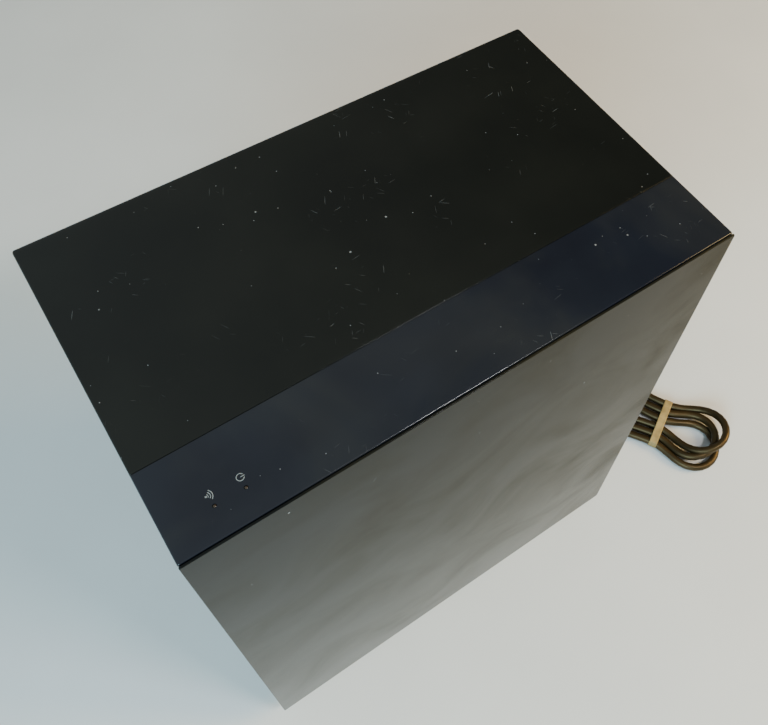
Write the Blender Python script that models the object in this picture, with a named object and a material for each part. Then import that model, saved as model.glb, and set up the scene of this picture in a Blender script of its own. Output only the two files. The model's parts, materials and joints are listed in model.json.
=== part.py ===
"""Slim wireless home-theatre subwoofer with its mains lead folded in a hank beside it.

Metres, +Z up. The origin is on the floor at the centre of the box; the front faces -Y.
"""

import math

import bmesh
import bpy
from mathutils import Vector

MM = 0.001
GAP = 0.3 * MM  # what touching pieces keep between them

# Enclosure
WIDTH = 290 * MM
DEPTH = 175 * MM
BODY_HEIGHT = 350 * MM
FOOT_HEIGHT = 14.5 * MM
SEAM_FROM_FRONT = 44.5 * MM
SEAM_GAP = 0.3 * MM
EDGE_RADIUS = 1.2 * MM
BOARD = 12 * MM
COVER_WALL = 3 * MM
PANEL_THICKNESS = 1.2 * MM
PANEL_REVEAL = 0.4 * MM
PANEL_FRONT_EDGE = 0.35 * MM
PANEL_BACK_EDGE = 0.2 * MM
PANEL_POCKET = 0.8 * MM  # depth of the cover's recess for the tape
PANEL_POCKET_INSET = 7 * MM
PANEL_TAPE_INSET = 8 * MM
PANEL_TAPE_WIDTH = 12 * MM
REAR_RECESS = 5.5 * MM
BAFFLE_RECESS = 1.5 * MM

HALF_WIDTH = WIDTH / 2
FRONT_Y = -DEPTH / 2
REAR_Y = DEPTH / 2
SEAM_Y = FRONT_Y + SEAM_FROM_FRONT
BASE_Z = FOOT_HEIGHT
TOP_Z = FOOT_HEIGHT + BODY_HEIGHT
COVER_FRONT_Y = FRONT_Y + PANEL_THICKNESS + PANEL_REVEAL
INNER_HALF_WIDTH = HALF_WIDTH - BOARD - GAP
INNER_LOW_Z = BASE_Z + BOARD + GAP
INNER_HIGH_Z = TOP_Z - BOARD - GAP

# Sound slot in the cover's underside
SLOT_WIDTH = 196 * MM
SLOT_LOW_Y = -76 * MM
SLOT_HIGH_Y = -52 * MM
GRILLE_BARS = 13
GRILLE_THICKNESS = 2 * MM
GRILLE_OPENING = 0.72  # share of each bar's pitch that is open
GRILLE_RAIL = 3 * MM

# Feet
FOOT_RADIUS = 12 * MM
FOOT_X = 122 * MM
FOOT_YS = {"front": -66 * MM, "rear": 68 * MM}

# Indicator lamps on the cover's top
LENS_RADIUS = 0.7 * MM
LENS_HOLE_RADIUS = 1.0 * MM
LENS_Y = FRONT_Y + 15 * MM
LENS_XS = {"power": -109.4 * MM, "link": -123 * MM}
LAMP_BOARD_Z = 350 * MM
LAMP_BOARD_THICKNESS = 1.2 * MM
LAMP_POST_XS = (-101.5 * MM, -130.5 * MM)
LAMP_POST_RADIUS = 1.6 * MM
LAMP_CABLE_X = -116 * MM
LAMP_CABLE_Z = 320 * MM
LAMP_CABLE_HOLE = 3 * MM

# Woofer, turned about an axis along Y. Depths are counted backwards from the flange's front.
ROUND_STEPS = 32
WOOFER_Z = 205 * MM
FLANGE_RADIUS = 84 * MM
FLANGE_THICKNESS = 3.2 * MM
BAFFLE_FRONT_Y = SEAM_Y + BAFFLE_RECESS
WOOFER_Y = BAFFLE_FRONT_Y - GAP - FLANGE_THICKNESS
BAFFLE_HOLE_RADIUS = 73.5 * MM
WOOFER_SCREW_CIRCLE = 80 * MM
WOOFER_SCREW_ANGLES = (45, 135, 225, 315)
BASKET_WINDOWS = 6
BASKET_WINDOW_PLACE = (62 * MM, 21 * MM)  # radius, depth
BASKET_WINDOW_HALF = (20 * MM, 9 * MM, 14 * MM)
SCREW_HOLE_RADIUS = 2 * MM
CONE_INNER = (12.95, 26.2)  # radius, depth in millimetres
CONE_OUTER = (61.0, 4.6)
CONE_SAG = 1.2
CONE_THICKNESS = 1.1
CAP_RADIUS = 21.5
CAP_DEPTH = 19.5
CAP_RISE = 8.0

# Reflex port
PORT_Z = 300 * MM
PORT_BORE = 23 * MM
PORT_OUTSIDE = 25 * MM
PORT_FLANGE = 33 * MM
PORT_LENGTH = 90 * MM
PORT_FLARE = 4 * MM
PORT_FLANGE_THICKNESS = 3.2 * MM

# Amplifier
REAR_BOARD_Y = REAR_Y - REAR_RECESS
PLATE_HALF_WIDTH = 85 * MM
PLATE_LOW_Z = 30 * MM
PLATE_HIGH_Z = 150 * MM
PLATE_THICKNESS = 1.5 * MM
PLATE_Y = REAR_BOARD_Y + GAP
PLATE_BACK_Y = PLATE_Y + PLATE_THICKNESS
OPENING_HALF_WIDTH = 75 * MM
OPENING_LOW_Z = 38 * MM
OPENING_HIGH_Z = 142 * MM
PLATE_SCREW_X = 80 * MM
PLATE_SCREW_ZS = (35 * MM, 145 * MM)
PCB_HALF_WIDTH = 70 * MM
PCB_LOW_Z = 42.5 * MM
PCB_HIGH_Z = 137.5 * MM
PCB_THICKNESS = 1.6 * MM
PCB_BACK_Y = 57.6 * MM
PCB_FRONT_Y = PCB_BACK_Y - PCB_THICKNESS
STANDOFF_X = 66 * MM
STANDOFF_ZS = (47 * MM, 133 * MM)
STANDOFF_RADIUS = 3 * MM
SINK_HALF_WIDTH = 25 * MM
SINK_DEPTH = 26 * MM
SINK_BASE = 5 * MM
SINK_ZS = (88 * MM, 118 * MM)
SINK_FINS = 7
TRANSFORMER_XS = (-12 * MM, 20 * MM)
TRANSFORMER_ZS = (50 * MM, 80 * MM)
TRANSFORMER_DEPTH = 24 * MM
MAINS_CAN = ((40 * MM, 62 * MM), 11 * MM, 30 * MM)  # (x, z), radius, height
OUTPUT_CAN = ((-30 * MM, 62 * MM), 8 * MM, 22 * MM)
RADIO_XS = (-58 * MM, -32 * MM)
RADIO_ZS = (108 * MM, 127 * MM)
RADIO_DEPTH = 3 * MM

# Pairing button
BUTTON_X = -45 * MM
BUTTON_Z = 125 * MM
BUTTON_HOLE_RADIUS = 3.6 * MM
BUTTON_RADIUS = 3.2 * MM
BUTTON_TRAVEL = 0.8 * MM
SWITCH_HALF = 3 * MM
SWITCH_DEPTH = 3.5 * MM
SWITCH_BOARD_HALF = (11 * MM, 8 * MM)
SWITCH_BOARD_THICKNESS = 1.2 * MM

# Mains lead
CORD_RADIUS = 3.25 * MM
LEAD_X = 50 * MM
LEAD_Z = 50 * MM
RELIEF_LENGTH = 32 * MM
RELIEF_HOLE_RADIUS = 6.3 * MM
RELIEF_END_Y = PLATE_BACK_Y + GAP + RELIEF_LENGTH
HANK_CENTRE = (238.5 * MM, -65.7 * MM)
HANK_ANGLE = math.radians(-60.4)  # the way the front loop points, about +Z from +X
HANK_FRONT = 31.6 * MM
HANK_REAR = -98.4 * MM
FOLD_RADIUS = 21 * MM
STRAND_PITCH = 6.6 * MM
WAIST_OUTER = 20.2 * MM
TAPE_HALF_WIDTH = 3.4 * MM
PLUG_SIDE = FOLD_RADIUS + 1.5 * STRAND_PITCH + 3 * MM
PLUG_Z = 8.6 * MM
PLUG_LENGTH = 44 * MM
PIN_SIDE = 6.35 * MM
PIN_LENGTH = 17 * MM
PIN_HALF_THICKNESS = 0.75 * MM
PIN_HALF_HEIGHT = 3.2 * MM


def clear_scene():
    for obj in list(bpy.data.objects):
        bpy.data.objects.remove(obj)


def finish_of(name, colour, roughness, metallic=0.0):
    """A material with a plain Principled BSDF."""
    material = bpy.data.materials.new(name)
    material.use_nodes = True
    shader = material.node_tree.nodes["Principled BSDF"]
    shader.inputs["Base Color"].default_value = (*colour, 1)
    shader.inputs["Roughness"].default_value = roughness
    shader.inputs["Metallic"].default_value = metallic
    material.diffuse_color = (*colour, 1)
    return material


def make_finishes():
    return {
        "vinyl": finish_of("black_vinyl_wrap", (0.012, 0.012, 0.012), 0.35),
        "gloss": finish_of("gloss_black_moulding", (0.014, 0.015, 0.018), 0.12),
        "panel": finish_of("gloss_black_panel", (0.01, 0.01, 0.01), 0.05),
        "board": finish_of("fibreboard", (0.30, 0.20, 0.12), 0.9),
        "painted_board": finish_of("black_painted_fibreboard", (0.018, 0.018, 0.018), 0.7),
        "foam": finish_of("black_foam", (0.02, 0.02, 0.02), 1.0),
        "plastic": finish_of("matt_black_plastic", (0.02, 0.02, 0.02), 0.6),
        "felt": finish_of("white_felt", (0.7, 0.7, 0.68), 1.0),
        "rubber": finish_of("black_rubber", (0.015, 0.015, 0.015), 0.8),
        "lens": finish_of("smoked_lens", (0.06, 0.045, 0.03), 0.1),
        "pcb": finish_of("green_circuit_board", (0.02, 0.14, 0.06), 0.4),
        "led": finish_of("white_led", (0.8, 0.8, 0.7), 0.3),
        "steel": finish_of("zinc_steel", (0.55, 0.55, 0.56), 0.35, 1.0),
        "plate": finish_of("black_painted_steel", (0.02, 0.02, 0.02), 0.45),
        "ferrite": finish_of("ferrite", (0.06, 0.06, 0.065), 0.7),
        "paper": finish_of("pulp_cone", (0.03, 0.03, 0.03), 0.85),
        "cloth": finish_of("resin_cloth", (0.45, 0.27, 0.10), 0.9),
        "copper": finish_of("copper_winding", (0.72, 0.35, 0.18), 0.3, 1.0),
        "aluminium": finish_of("extruded_aluminium", (0.6, 0.6, 0.6), 0.4, 1.0),
        "tape_winding": finish_of("yellow_winding_tape", (0.75, 0.55, 0.05), 0.5),
        "sleeve": finish_of("capacitor_sleeve", (0.02, 0.02, 0.05), 0.4),
        "cord": finish_of("black_flex", (0.02, 0.018, 0.014), 0.4),
        "paper_tape": finish_of("beige_paper_tape", (0.55, 0.45, 0.25), 0.7),
        "brass": finish_of("plated_brass", (0.75, 0.70, 0.55), 0.25, 1.0),
    }


def add_object(name, bm, finish, location=(0, 0, 0), rotation=(0, 0, 0)):
    bmesh.ops.recalc_face_normals(bm, faces=bm.faces)
    mesh = bpy.data.meshes.new(name)
    bm.to_mesh(mesh)
    bm.free()
    mesh.shade_smooth()
    mesh.set_sharp_from_angle(angle=math.radians(35))
    mesh.materials.append(finish)
    obj = bpy.data.objects.new(name, mesh)
    obj.location = location
    obj.rotation_euler = rotation
    bpy.context.scene.collection.objects.link(obj)
    return obj


def bridge(bm, first, second):
    """Quads, or triangles where a ring is a single point, between two rings."""
    count = max(len(first), len(second))
    for i in range(count):
        corners = [
            first[i % len(first)],
            first[(i + 1) % len(first)],
            second[(i + 1) % len(second)],
            second[i % len(second)],
        ]
        unique = [v for n, v in enumerate(corners) if v not in corners[:n]]
        bm.faces.new(unique)


def add_box(name, low, high, finish, bevel=0.0):
    bm = bmesh.new()
    bmesh.ops.create_cube(bm, size=1)
    centre = [(a + b) / 2 for a, b in zip(low, high)]
    size = [b - a for a, b in zip(low, high)]
    bmesh.ops.scale(bm, vec=size, verts=bm.verts)
    if bevel:
        bmesh.ops.bevel(
            bm, geom=bm.edges, offset=bevel, segments=1, affect="EDGES", profile=0.5
        )
    return add_object(name, bm, finish, location=centre)


def add_turned(name, profile, finish, location, rotation=(0, 0, 0), ring=True, steps=ROUND_STEPS):
    """A profile of (radius, height) points turned about local Z. A ring profile is closed."""
    bm = bmesh.new()
    rings = []
    for radius, height in profile:
        if radius == 0:
            rings.append([bm.verts.new((0, 0, height))])
            continue
        angles = [2 * math.pi * i / steps for i in range(steps)]
        rings.append(
            [bm.verts.new((radius * math.cos(a), radius * math.sin(a), height)) for a in angles]
        )
    pairs = list(zip(rings, rings[1:]))
    if ring:
        pairs.append((rings[-1], rings[0]))
    for first, second in pairs:
        bridge(bm, first, second)
    return add_object(name, bm, finish, location, rotation)


def add_lofted(name, sections, finish, location=(0, 0, 0), rotation=(0, 0, 0), square=4.0, sides=20):
    """Rounded sections (x, half width, low z, high z) joined along local X, with flat ends."""
    bm = bmesh.new()
    rings = []
    for x, half_width, low, high in sections:
        ring = []
        for i in range(sides):
            angle = 2 * math.pi * (i + 0.5) / sides
            c, s = math.cos(angle), math.sin(angle)
            y = half_width * math.copysign(abs(c) ** (2 / square), c)
            z = (low + high) / 2 + (high - low) / 2 * math.copysign(abs(s) ** (2 / square), s)
            ring.append(bm.verts.new((x, y, z)))
        rings.append(ring)
    for first, second in zip(rings, rings[1:]):
        bridge(bm, first, second)
    bm.faces.new(rings[0])
    bm.faces.new(rings[-1])
    return add_object(name, bm, finish, location, rotation)


def rounded_rectangle(half_width, low_z, high_z, radius, steps=4):
    """Points (x, z) round a rectangle with round corners."""
    corners = (
        (half_width - radius, high_z - radius, 0),
        (-half_width + radius, high_z - radius, 90),
        (-half_width + radius, low_z + radius, 180),
        (half_width - radius, low_z + radius, 270),
    )
    points = []
    for x, z, start in corners:
        for i in range(steps + 1):
            angle = math.radians(start + 90 * i / steps)
            points.append((x + radius * math.cos(angle), z + radius * math.sin(angle)))
    return points


def add_slab(name, outline, low_y, high_y, finish):
    """An (x, z) outline extruded along Y."""
    bm = bmesh.new()
    front = [bm.verts.new((x, low_y, z)) for x, z in outline]
    back = [bm.verts.new((x, high_y, z)) for x, z in outline]
    bridge(bm, front, back)
    bm.faces.new(front)
    bm.faces.new(back)
    return add_object(name, bm, finish)


def add_tube(name, points, radius, finish, resolution):
    """A round tube along the points."""
    curve = bpy.data.curves.new(name, "CURVE")
    curve.dimensions = "3D"
    curve.bevel_depth = radius
    curve.bevel_resolution = resolution
    curve.use_fill_caps = True
    spline = curve.splines.new("POLY")
    spline.points.add(len(points) - 1)
    for target, point in zip(spline.points, points):
        target.co = (*point, 1)
    curve.materials.append(finish)
    obj = bpy.data.objects.new(name, curve)
    bpy.context.scene.collection.objects.link(obj)
    return obj


def carve(obj, cutter, operation="DIFFERENCE"):
    """Cuts or joins a second shape, which is then removed."""
    modifier = obj.modifiers.new("Carve", "BOOLEAN")
    modifier.operation = operation
    modifier.object = cutter
    depsgraph = bpy.context.evaluated_depsgraph_get()
    mesh = bpy.data.meshes.new_from_object(obj.evaluated_get(depsgraph))
    obj.modifiers.clear()
    obj.data = mesh
    bpy.data.objects.remove(cutter)


def cut_box(obj, low, high):
    carve(obj, add_box("cutter", low, high, obj.data.materials[0]))


def cut_round(obj, radius, centre, length, rotation=(math.radians(90), 0, 0), steps=24):
    """Cuts a round hole, centred on a point, by default along Y."""
    half = length / 2
    profile = [(0, -half), (radius, -half), (radius, half), (0, half)]
    finish = obj.data.materials[0]
    cutter = add_turned("cutter", profile, finish, centre, rotation, ring=False, steps=steps)
    carve(obj, cutter)


def smooth_path(points, spacing):
    """Points a set distance apart on a Catmull-Rom curve through the given points."""
    knots = [Vector(p) for p in points]
    knots = [2 * knots[0] - knots[1], *knots, 2 * knots[-1] - knots[-2]]
    fine = []
    parts = 24
    for a, b, c, d in zip(knots, knots[1:], knots[2:], knots[3:]):
        for i in range(parts):
            t = i / parts
            fine.append(
                0.5
                * (
                    2 * b
                    + (c - a) * t
                    + (2 * a - 5 * b + 4 * c - d) * t**2
                    + (3 * b - a - 3 * c + d) * t**3
                )
            )
    fine.append(knots[-2])
    total = sum((q - p).length for p, q in zip(fine, fine[1:]))
    count = max(2, round(total / spacing))
    path = [fine[0]]
    walked = 0.0
    for p, q in zip(fine, fine[1:]):
        step = (q - p).length
        while len(path) < count and walked + step >= len(path) * total / count:
            path.append(p.lerp(q, (len(path) * total / count - walked) / step))
        walked += step
    path.append(fine[-1])
    return path


def make_cabinet(finishes):
    outer = rounded_rectangle(HALF_WIDTH, BASE_Z, TOP_Z, EDGE_RADIUS)
    shell = add_slab("cabinet_shell", outer, SEAM_Y, REAR_Y, finishes["vinyl"])
    inside = HALF_WIDTH - BOARD
    cut_box(
        shell,
        (-inside, SEAM_Y - BOARD, BASE_Z + BOARD),
        (inside, REAR_Y + BOARD, TOP_Z - BOARD),
    )
    back = BAFFLE_FRONT_Y + BOARD
    baffle = add_box(
        "baffle_board",
        (-INNER_HALF_WIDTH, BAFFLE_FRONT_Y, INNER_LOW_Z),
        (INNER_HALF_WIDTH, back, INNER_HIGH_Z),
        finishes["board"],
    )
    middle = (BAFFLE_FRONT_Y + back) / 2
    cut_round(baffle, BAFFLE_HOLE_RADIUS, (0, middle, WOOFER_Z), 2 * BOARD, steps=48)
    place = (LAMP_CABLE_X, middle, LAMP_CABLE_Z)
    cut_round(baffle, LAMP_CABLE_HOLE, place, 2 * BOARD, steps=12)
    for x, z in woofer_screw_places():
        cut_round(baffle, SCREW_HOLE_RADIUS, (x, middle, z), 2 * BOARD, steps=12)
    rear = add_box(
        "rear_board",
        (-INNER_HALF_WIDTH, REAR_BOARD_Y - BOARD, INNER_LOW_Z),
        (INNER_HALF_WIDTH, REAR_BOARD_Y, INNER_HIGH_Z),
        finishes["painted_board"],
    )
    cut_box(
        rear,
        (-OPENING_HALF_WIDTH, REAR_BOARD_Y - 2 * BOARD, OPENING_LOW_Z),
        (OPENING_HALF_WIDTH, REAR_BOARD_Y + BOARD, OPENING_HIGH_Z),
    )
    middle = REAR_BOARD_Y - BOARD / 2
    cut_round(rear, PORT_OUTSIDE + GAP, (0, middle, PORT_Z), 2 * BOARD, steps=32)
    for x, z in plate_screw_places():
        cut_round(rear, SCREW_HOLE_RADIUS, (x, middle, z), 2 * BOARD, steps=12)
    add_box(
        "damping_felt",
        (-125 * MM, -20 * MM, 339 * MM),
        (125 * MM, 60 * MM, INNER_HIGH_Z),
        finishes["felt"],
    )


def make_front(finishes):
    outer = rounded_rectangle(HALF_WIDTH, BASE_Z, TOP_Z, EDGE_RADIUS)
    back = SEAM_Y - SEAM_GAP
    cover = add_slab("front_cover", outer, COVER_FRONT_Y, back, finishes["gloss"])
    inside = HALF_WIDTH - COVER_WALL
    cut_box(
        cover,
        (-inside, COVER_FRONT_Y + COVER_WALL, BASE_Z + COVER_WALL),
        (inside, back + BOARD, TOP_Z - COVER_WALL),
    )
    cut_box(
        cover,
        (-HALF_WIDTH + PANEL_POCKET_INSET, FRONT_Y - BOARD, BASE_Z + PANEL_POCKET_INSET),
        (HALF_WIDTH - PANEL_POCKET_INSET, COVER_FRONT_Y + PANEL_POCKET, TOP_Z - PANEL_POCKET_INSET),
    )
    half_slot = SLOT_WIDTH / 2
    cut_box(
        cover,
        (-half_slot, SLOT_LOW_Y, BASE_Z - BOARD),
        (half_slot, SLOT_HIGH_Y, BASE_Z + BOARD),
    )
    for x in LENS_XS.values():
        cut_round(cover, LENS_HOLE_RADIUS, (x, LENS_Y, TOP_Z), 4 * COVER_WALL, (0, 0, 0), 12)
    post_low = LAMP_BOARD_Z + LAMP_BOARD_THICKNESS + GAP
    for x in LAMP_POST_XS:
        profile = [
            (0, post_low),
            (LAMP_POST_RADIUS, post_low),
            (LAMP_POST_RADIUS, TOP_Z - COVER_WALL / 2),
            (0, TOP_Z - COVER_WALL / 2),
        ]
        post = add_turned("post", profile, finishes["gloss"], (x, LENS_Y, 0), ring=False, steps=10)
        carve(cover, post, "UNION")

    bm = bmesh.new()
    rings = []
    panel_back = FRONT_Y + PANEL_THICKNESS
    for y, inset in (
        (panel_back, PANEL_BACK_EDGE),
        (panel_back - PANEL_BACK_EDGE, 0),
        (FRONT_Y + PANEL_FRONT_EDGE, 0),
        (FRONT_Y + 0.3 * PANEL_FRONT_EDGE, 0.3 * PANEL_FRONT_EDGE),
        (FRONT_Y, PANEL_FRONT_EDGE),
    ):
        outline = rounded_rectangle(
            HALF_WIDTH - inset, BASE_Z + inset, TOP_Z - inset, EDGE_RADIUS - inset / 2
        )
        rings.append([bm.verts.new((x, y, z)) for x, z in outline])
    for first, second in zip(rings, rings[1:]):
        bridge(bm, first, second)
    bm.faces.new(rings[0])
    bm.faces.new(rings[-1])
    add_object("front_panel", bm, finishes["panel"])

    outside = PANEL_TAPE_INSET
    inside = PANEL_TAPE_INSET + PANEL_TAPE_WIDTH
    tape = add_box(
        "panel_tape",
        (-HALF_WIDTH + outside, panel_back + GAP, BASE_Z + outside),
        (HALF_WIDTH - outside, COVER_FRONT_Y + PANEL_POCKET - GAP, TOP_Z - outside),
        finishes["foam"],
    )
    cut_box(
        tape,
        (-HALF_WIDTH + inside, FRONT_Y, BASE_Z + inside),
        (HALF_WIDTH - inside, SEAM_Y, TOP_Z - inside),
    )

    grille = add_box(
        "slot_grille",
        (-half_slot + GAP, SLOT_LOW_Y + GAP, BASE_Z),
        (half_slot - GAP, SLOT_HIGH_Y - GAP, BASE_Z + GRILLE_THICKNESS),
        finishes["plastic"],
    )
    pitch = SLOT_WIDTH / GRILLE_BARS
    half_opening = GRILLE_OPENING * pitch / 2
    for i in range(GRILLE_BARS):
        x = -half_slot + pitch * (i + 0.5)
        cut_box(
            grille,
            (x - half_opening, SLOT_LOW_Y + GRILLE_RAIL, BASE_Z - BOARD),
            (x + half_opening, SLOT_HIGH_Y - GRILLE_RAIL, BASE_Z + BOARD),
        )


def make_feet(finishes):
    profile = [
        (0, 0),
        (FOOT_RADIUS - 1 * MM, 0),
        (FOOT_RADIUS, 1 * MM),
        (FOOT_RADIUS - 1.5 * MM, FOOT_HEIGHT - GAP),
        (0, FOOT_HEIGHT - GAP),
    ]
    for end, y in FOOT_YS.items():
        for side, x in (("left", -FOOT_X), ("right", FOOT_X)):
            name = f"foot_{end}_{side}"
            add_turned(name, profile, finishes["rubber"], (x, y, 0), ring=False, steps=24)


def make_lamps(finishes):
    lens_low = TOP_Z - 8 * MM
    flange_top = TOP_Z - COVER_WALL - GAP
    profile = [
        (0, lens_low),
        (LENS_RADIUS, lens_low),
        (LENS_RADIUS, flange_top - 1.2 * MM),
        (2 * LENS_RADIUS, flange_top - 1.2 * MM),
        (2 * LENS_RADIUS, flange_top),
        (LENS_RADIUS, flange_top),
        (LENS_RADIUS, TOP_Z),
        (0, TOP_Z),
    ]
    led_low = LAMP_BOARD_Z + LAMP_BOARD_THICKNESS + GAP
    for name, x in LENS_XS.items():
        place = (x, LENS_Y, 0)
        add_turned(f"{name}_lens", profile, finishes["lens"], place, ring=False, steps=12)
        add_box(
            f"{name}_led",
            (x - 1 * MM, LENS_Y - 0.6 * MM, led_low),
            (x + 1 * MM, LENS_Y + 0.6 * MM, led_low + 0.9 * MM),
            finishes["led"],
        )
    add_box(
        "lamp_board",
        (-133 * MM, LENS_Y - 5 * MM, LAMP_BOARD_Z),
        (-99 * MM, LENS_Y + 6 * MM, LAMP_BOARD_Z + LAMP_BOARD_THICKNESS),
        finishes["pcb"],
    )
    route = (
        (LAMP_CABLE_X, -70 * MM, LAMP_BOARD_Z - 1.4 * MM),
        (LAMP_CABLE_X, -67 * MM, LAMP_CABLE_Z + 16 * MM),
        (LAMP_CABLE_X, -57 * MM, LAMP_CABLE_Z + 3 * MM),
        (LAMP_CABLE_X, -42 * MM, LAMP_CABLE_Z),
        (LAMP_CABLE_X, -28 * MM, LAMP_CABLE_Z),
        (-117 * MM, -8 * MM, 306 * MM),
        (-118 * MM, 10 * MM, 250 * MM),
        (-114 * MM, 28 * MM, 185 * MM),
        (-94 * MM, 44 * MM, 148 * MM),
        (-64 * MM, 50 * MM, 132 * MM),
    )
    add_tube("lamp_cable", smooth_path(route, 10 * MM), 1.2 * MM, finishes["cord"], 2)


def add_woofer_part(name, profile, finish, ring=True, steps=ROUND_STEPS):
    """A turned piece of the woofer: (radius, depth) in millimetres behind the flange's front."""
    turned = [(radius * MM, -depth * MM) for radius, depth in profile]
    place = (0, WOOFER_Y, WOOFER_Z)
    return add_turned(name, turned, finish, place, (math.radians(90), 0, 0), ring, steps)


def woofer_screw_places():
    places = []
    for angle in WOOFER_SCREW_ANGLES:
        x = WOOFER_SCREW_CIRCLE * math.cos(math.radians(angle))
        z = WOOFER_Z + WOOFER_SCREW_CIRCLE * math.sin(math.radians(angle))
        places.append((x, z))
    return places


def thick_line(line, thickness):
    """A closed profile of constant thickness along depth, from a line of (radius, depth)."""
    half = thickness / 2
    front = [(r, depth - half) for r, depth in line]
    back = [(r, depth + half) for r, depth in reversed(line)]
    return front + back


def make_woofer(finishes):
    basket = add_woofer_part(
        "woofer_basket",
        [
            (67, 0),
            (FLANGE_RADIUS / MM, 0),
            (FLANGE_RADIUS / MM, FLANGE_THICKNESS / MM),
            (72.4, FLANGE_THICKNESS / MM),
            (70.4, 6),
            (52, 38),
            (52, 40),
            (26, 40),
            (26, 37.6),
            (48.6, 37.6),
            (65, 6.5),
        ],
        finishes["plate"],
    )
    window_radius, window_depth = BASKET_WINDOW_PLACE
    for i in range(BASKET_WINDOWS):
        angle = 2 * math.pi * (i + 0.5) / BASKET_WINDOWS
        window_low = [-half for half in BASKET_WINDOW_HALF]
        window = add_box("window", window_low, BASKET_WINDOW_HALF, finishes["plate"])
        window.rotation_euler = (0, -angle, 0)
        window.location = (
            window_radius * math.cos(angle),
            WOOFER_Y + window_depth,
            WOOFER_Z + window_radius * math.sin(angle),
        )
        carve(basket, window)
    for x, z in woofer_screw_places():
        cut_round(basket, SCREW_HOLE_RADIUS, (x, WOOFER_Y, z), BOARD, steps=12)

    add_woofer_part(
        "woofer_gasket",
        [(71.5, -3.4), (76.2, -3.4), (76.2, -1.4), (71.5, -1.4)],
        finishes["foam"],
    )
    add_woofer_part(
        "woofer_top_plate",
        [(13.8, 40.3), (45, 40.3), (45, 46.3), (13.8, 46.3)],
        finishes["steel"],
    )
    add_woofer_part(
        "woofer_magnet",
        [(24, 46.6), (50, 46.6), (50, 64.6), (24, 64.6)],
        finishes["ferrite"],
    )
    add_woofer_part(
        "woofer_back_plate",
        [(4, 40.3), (11.6, 40.3), (11.6, 64.9), (46, 64.9), (46, 71), (4, 71)],
        finishes["steel"],
    )
    add_woofer_part(
        "voice_coil",
        [(12.2, 24), (12.6, 24), (12.6, 41), (13.1, 41), (13.1, 52), (12.2, 52)],
        finishes["copper"],
    )

    inner_radius, inner_depth = CONE_INNER
    outer_radius, outer_depth = CONE_OUTER
    cone = []
    for i in range(5):
        share = i / 4
        sag = CONE_SAG * math.sin(math.pi * share)
        cone.append(
            (
                inner_radius + (outer_radius - inner_radius) * share,
                inner_depth + (outer_depth - inner_depth) * share + sag,
            )
        )
    add_woofer_part("woofer_cone", thick_line(cone, CONE_THICKNESS), finishes["paper"])

    front = []
    back = []
    for i in range(6):
        across = math.sin(i / 5 * math.pi / 2)
        depth = CAP_DEPTH - CAP_RISE * math.cos(i / 5 * math.pi / 2)
        front.append((CAP_RADIUS * across, depth))
        back.append(((CAP_RADIUS - 1) * across, depth + 1))
    add_woofer_part("woofer_dust_cap", front + back[::-1], finishes["paper"], ring=False)

    roll = [(57.5, 4.4)]
    for i in range(8):
        share = i / 7
        radius = 60.6 + (70.6 - 60.6) * share
        depth = 3.1 + (-0.7 - 3.1) * share - 5.5 * math.sin(math.pi * share)
        roll.append((radius, depth))
    roll.append((75, -0.7))
    add_woofer_part("woofer_surround", thick_line(roll, 0.8), finishes["rubber"])

    pleats = [(12.95, 33.5), (15.5, 33.5)]
    for i in range(8):
        radius = 18 + 2.9 * i
        ripple = 1.1 if i % 2 else -1.1
        pleats.append((radius, 33.5 + 0.35 * i + ripple))
    pleats += [(42, 36.6), (47, 36.6)]
    add_woofer_part("woofer_spider", thick_line(pleats, 0.8), finishes["cloth"])

    add_box(
        "woofer_terminal",
        (64.4 * MM, WOOFER_Y + 18 * MM, WOOFER_Z - 7 * MM),
        (66.8 * MM, WOOFER_Y + 32 * MM, WOOFER_Z + 7 * MM),
        finishes["pcb"],
    )
    for number, (x, z) in enumerate(woofer_screw_places(), 1):
        add_screw(f"woofer_screw_{number}", (x, WOOFER_Y - GAP, z), -1, 3.2, 1.6, 13, finishes)

    route = (
        (68.8 * MM, WOOFER_Y + 25 * MM, WOOFER_Z),
        (78 * MM, WOOFER_Y + 28 * MM, WOOFER_Z - 2 * MM),
        (92 * MM, 0, WOOFER_Z - 14 * MM),
        (98 * MM, 20 * MM, WOOFER_Z - 44 * MM),
        (84 * MM, 40 * MM, 142 * MM),
        (58 * MM, 47 * MM, 128 * MM),
    )
    add_tube("speaker_cable", smooth_path(route, 9 * MM), 1.6 * MM, finishes["cord"], 2)


def add_screw(name, seat, facing, head_radius, shank_radius, length, finishes):
    """A pan-head screw: its head stands on the seat and faces -Y (-1) or +Y (+1)."""
    head, shank = head_radius * MM, shank_radius * MM
    profile = [
        (0, -length * MM),
        (shank * 0.6, -length * MM),
        (shank, -(length - 2) * MM),
        (shank, 0),
        (head, 0),
        (head, 0.9 * MM),
        (head * 0.75, 1.6 * MM),
        (0, 1.8 * MM),
    ]
    turn = math.radians(90 if facing < 0 else -90)
    add_turned(name, profile, finishes["steel"], seat, (turn, 0, 0), ring=False, steps=12)


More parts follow.
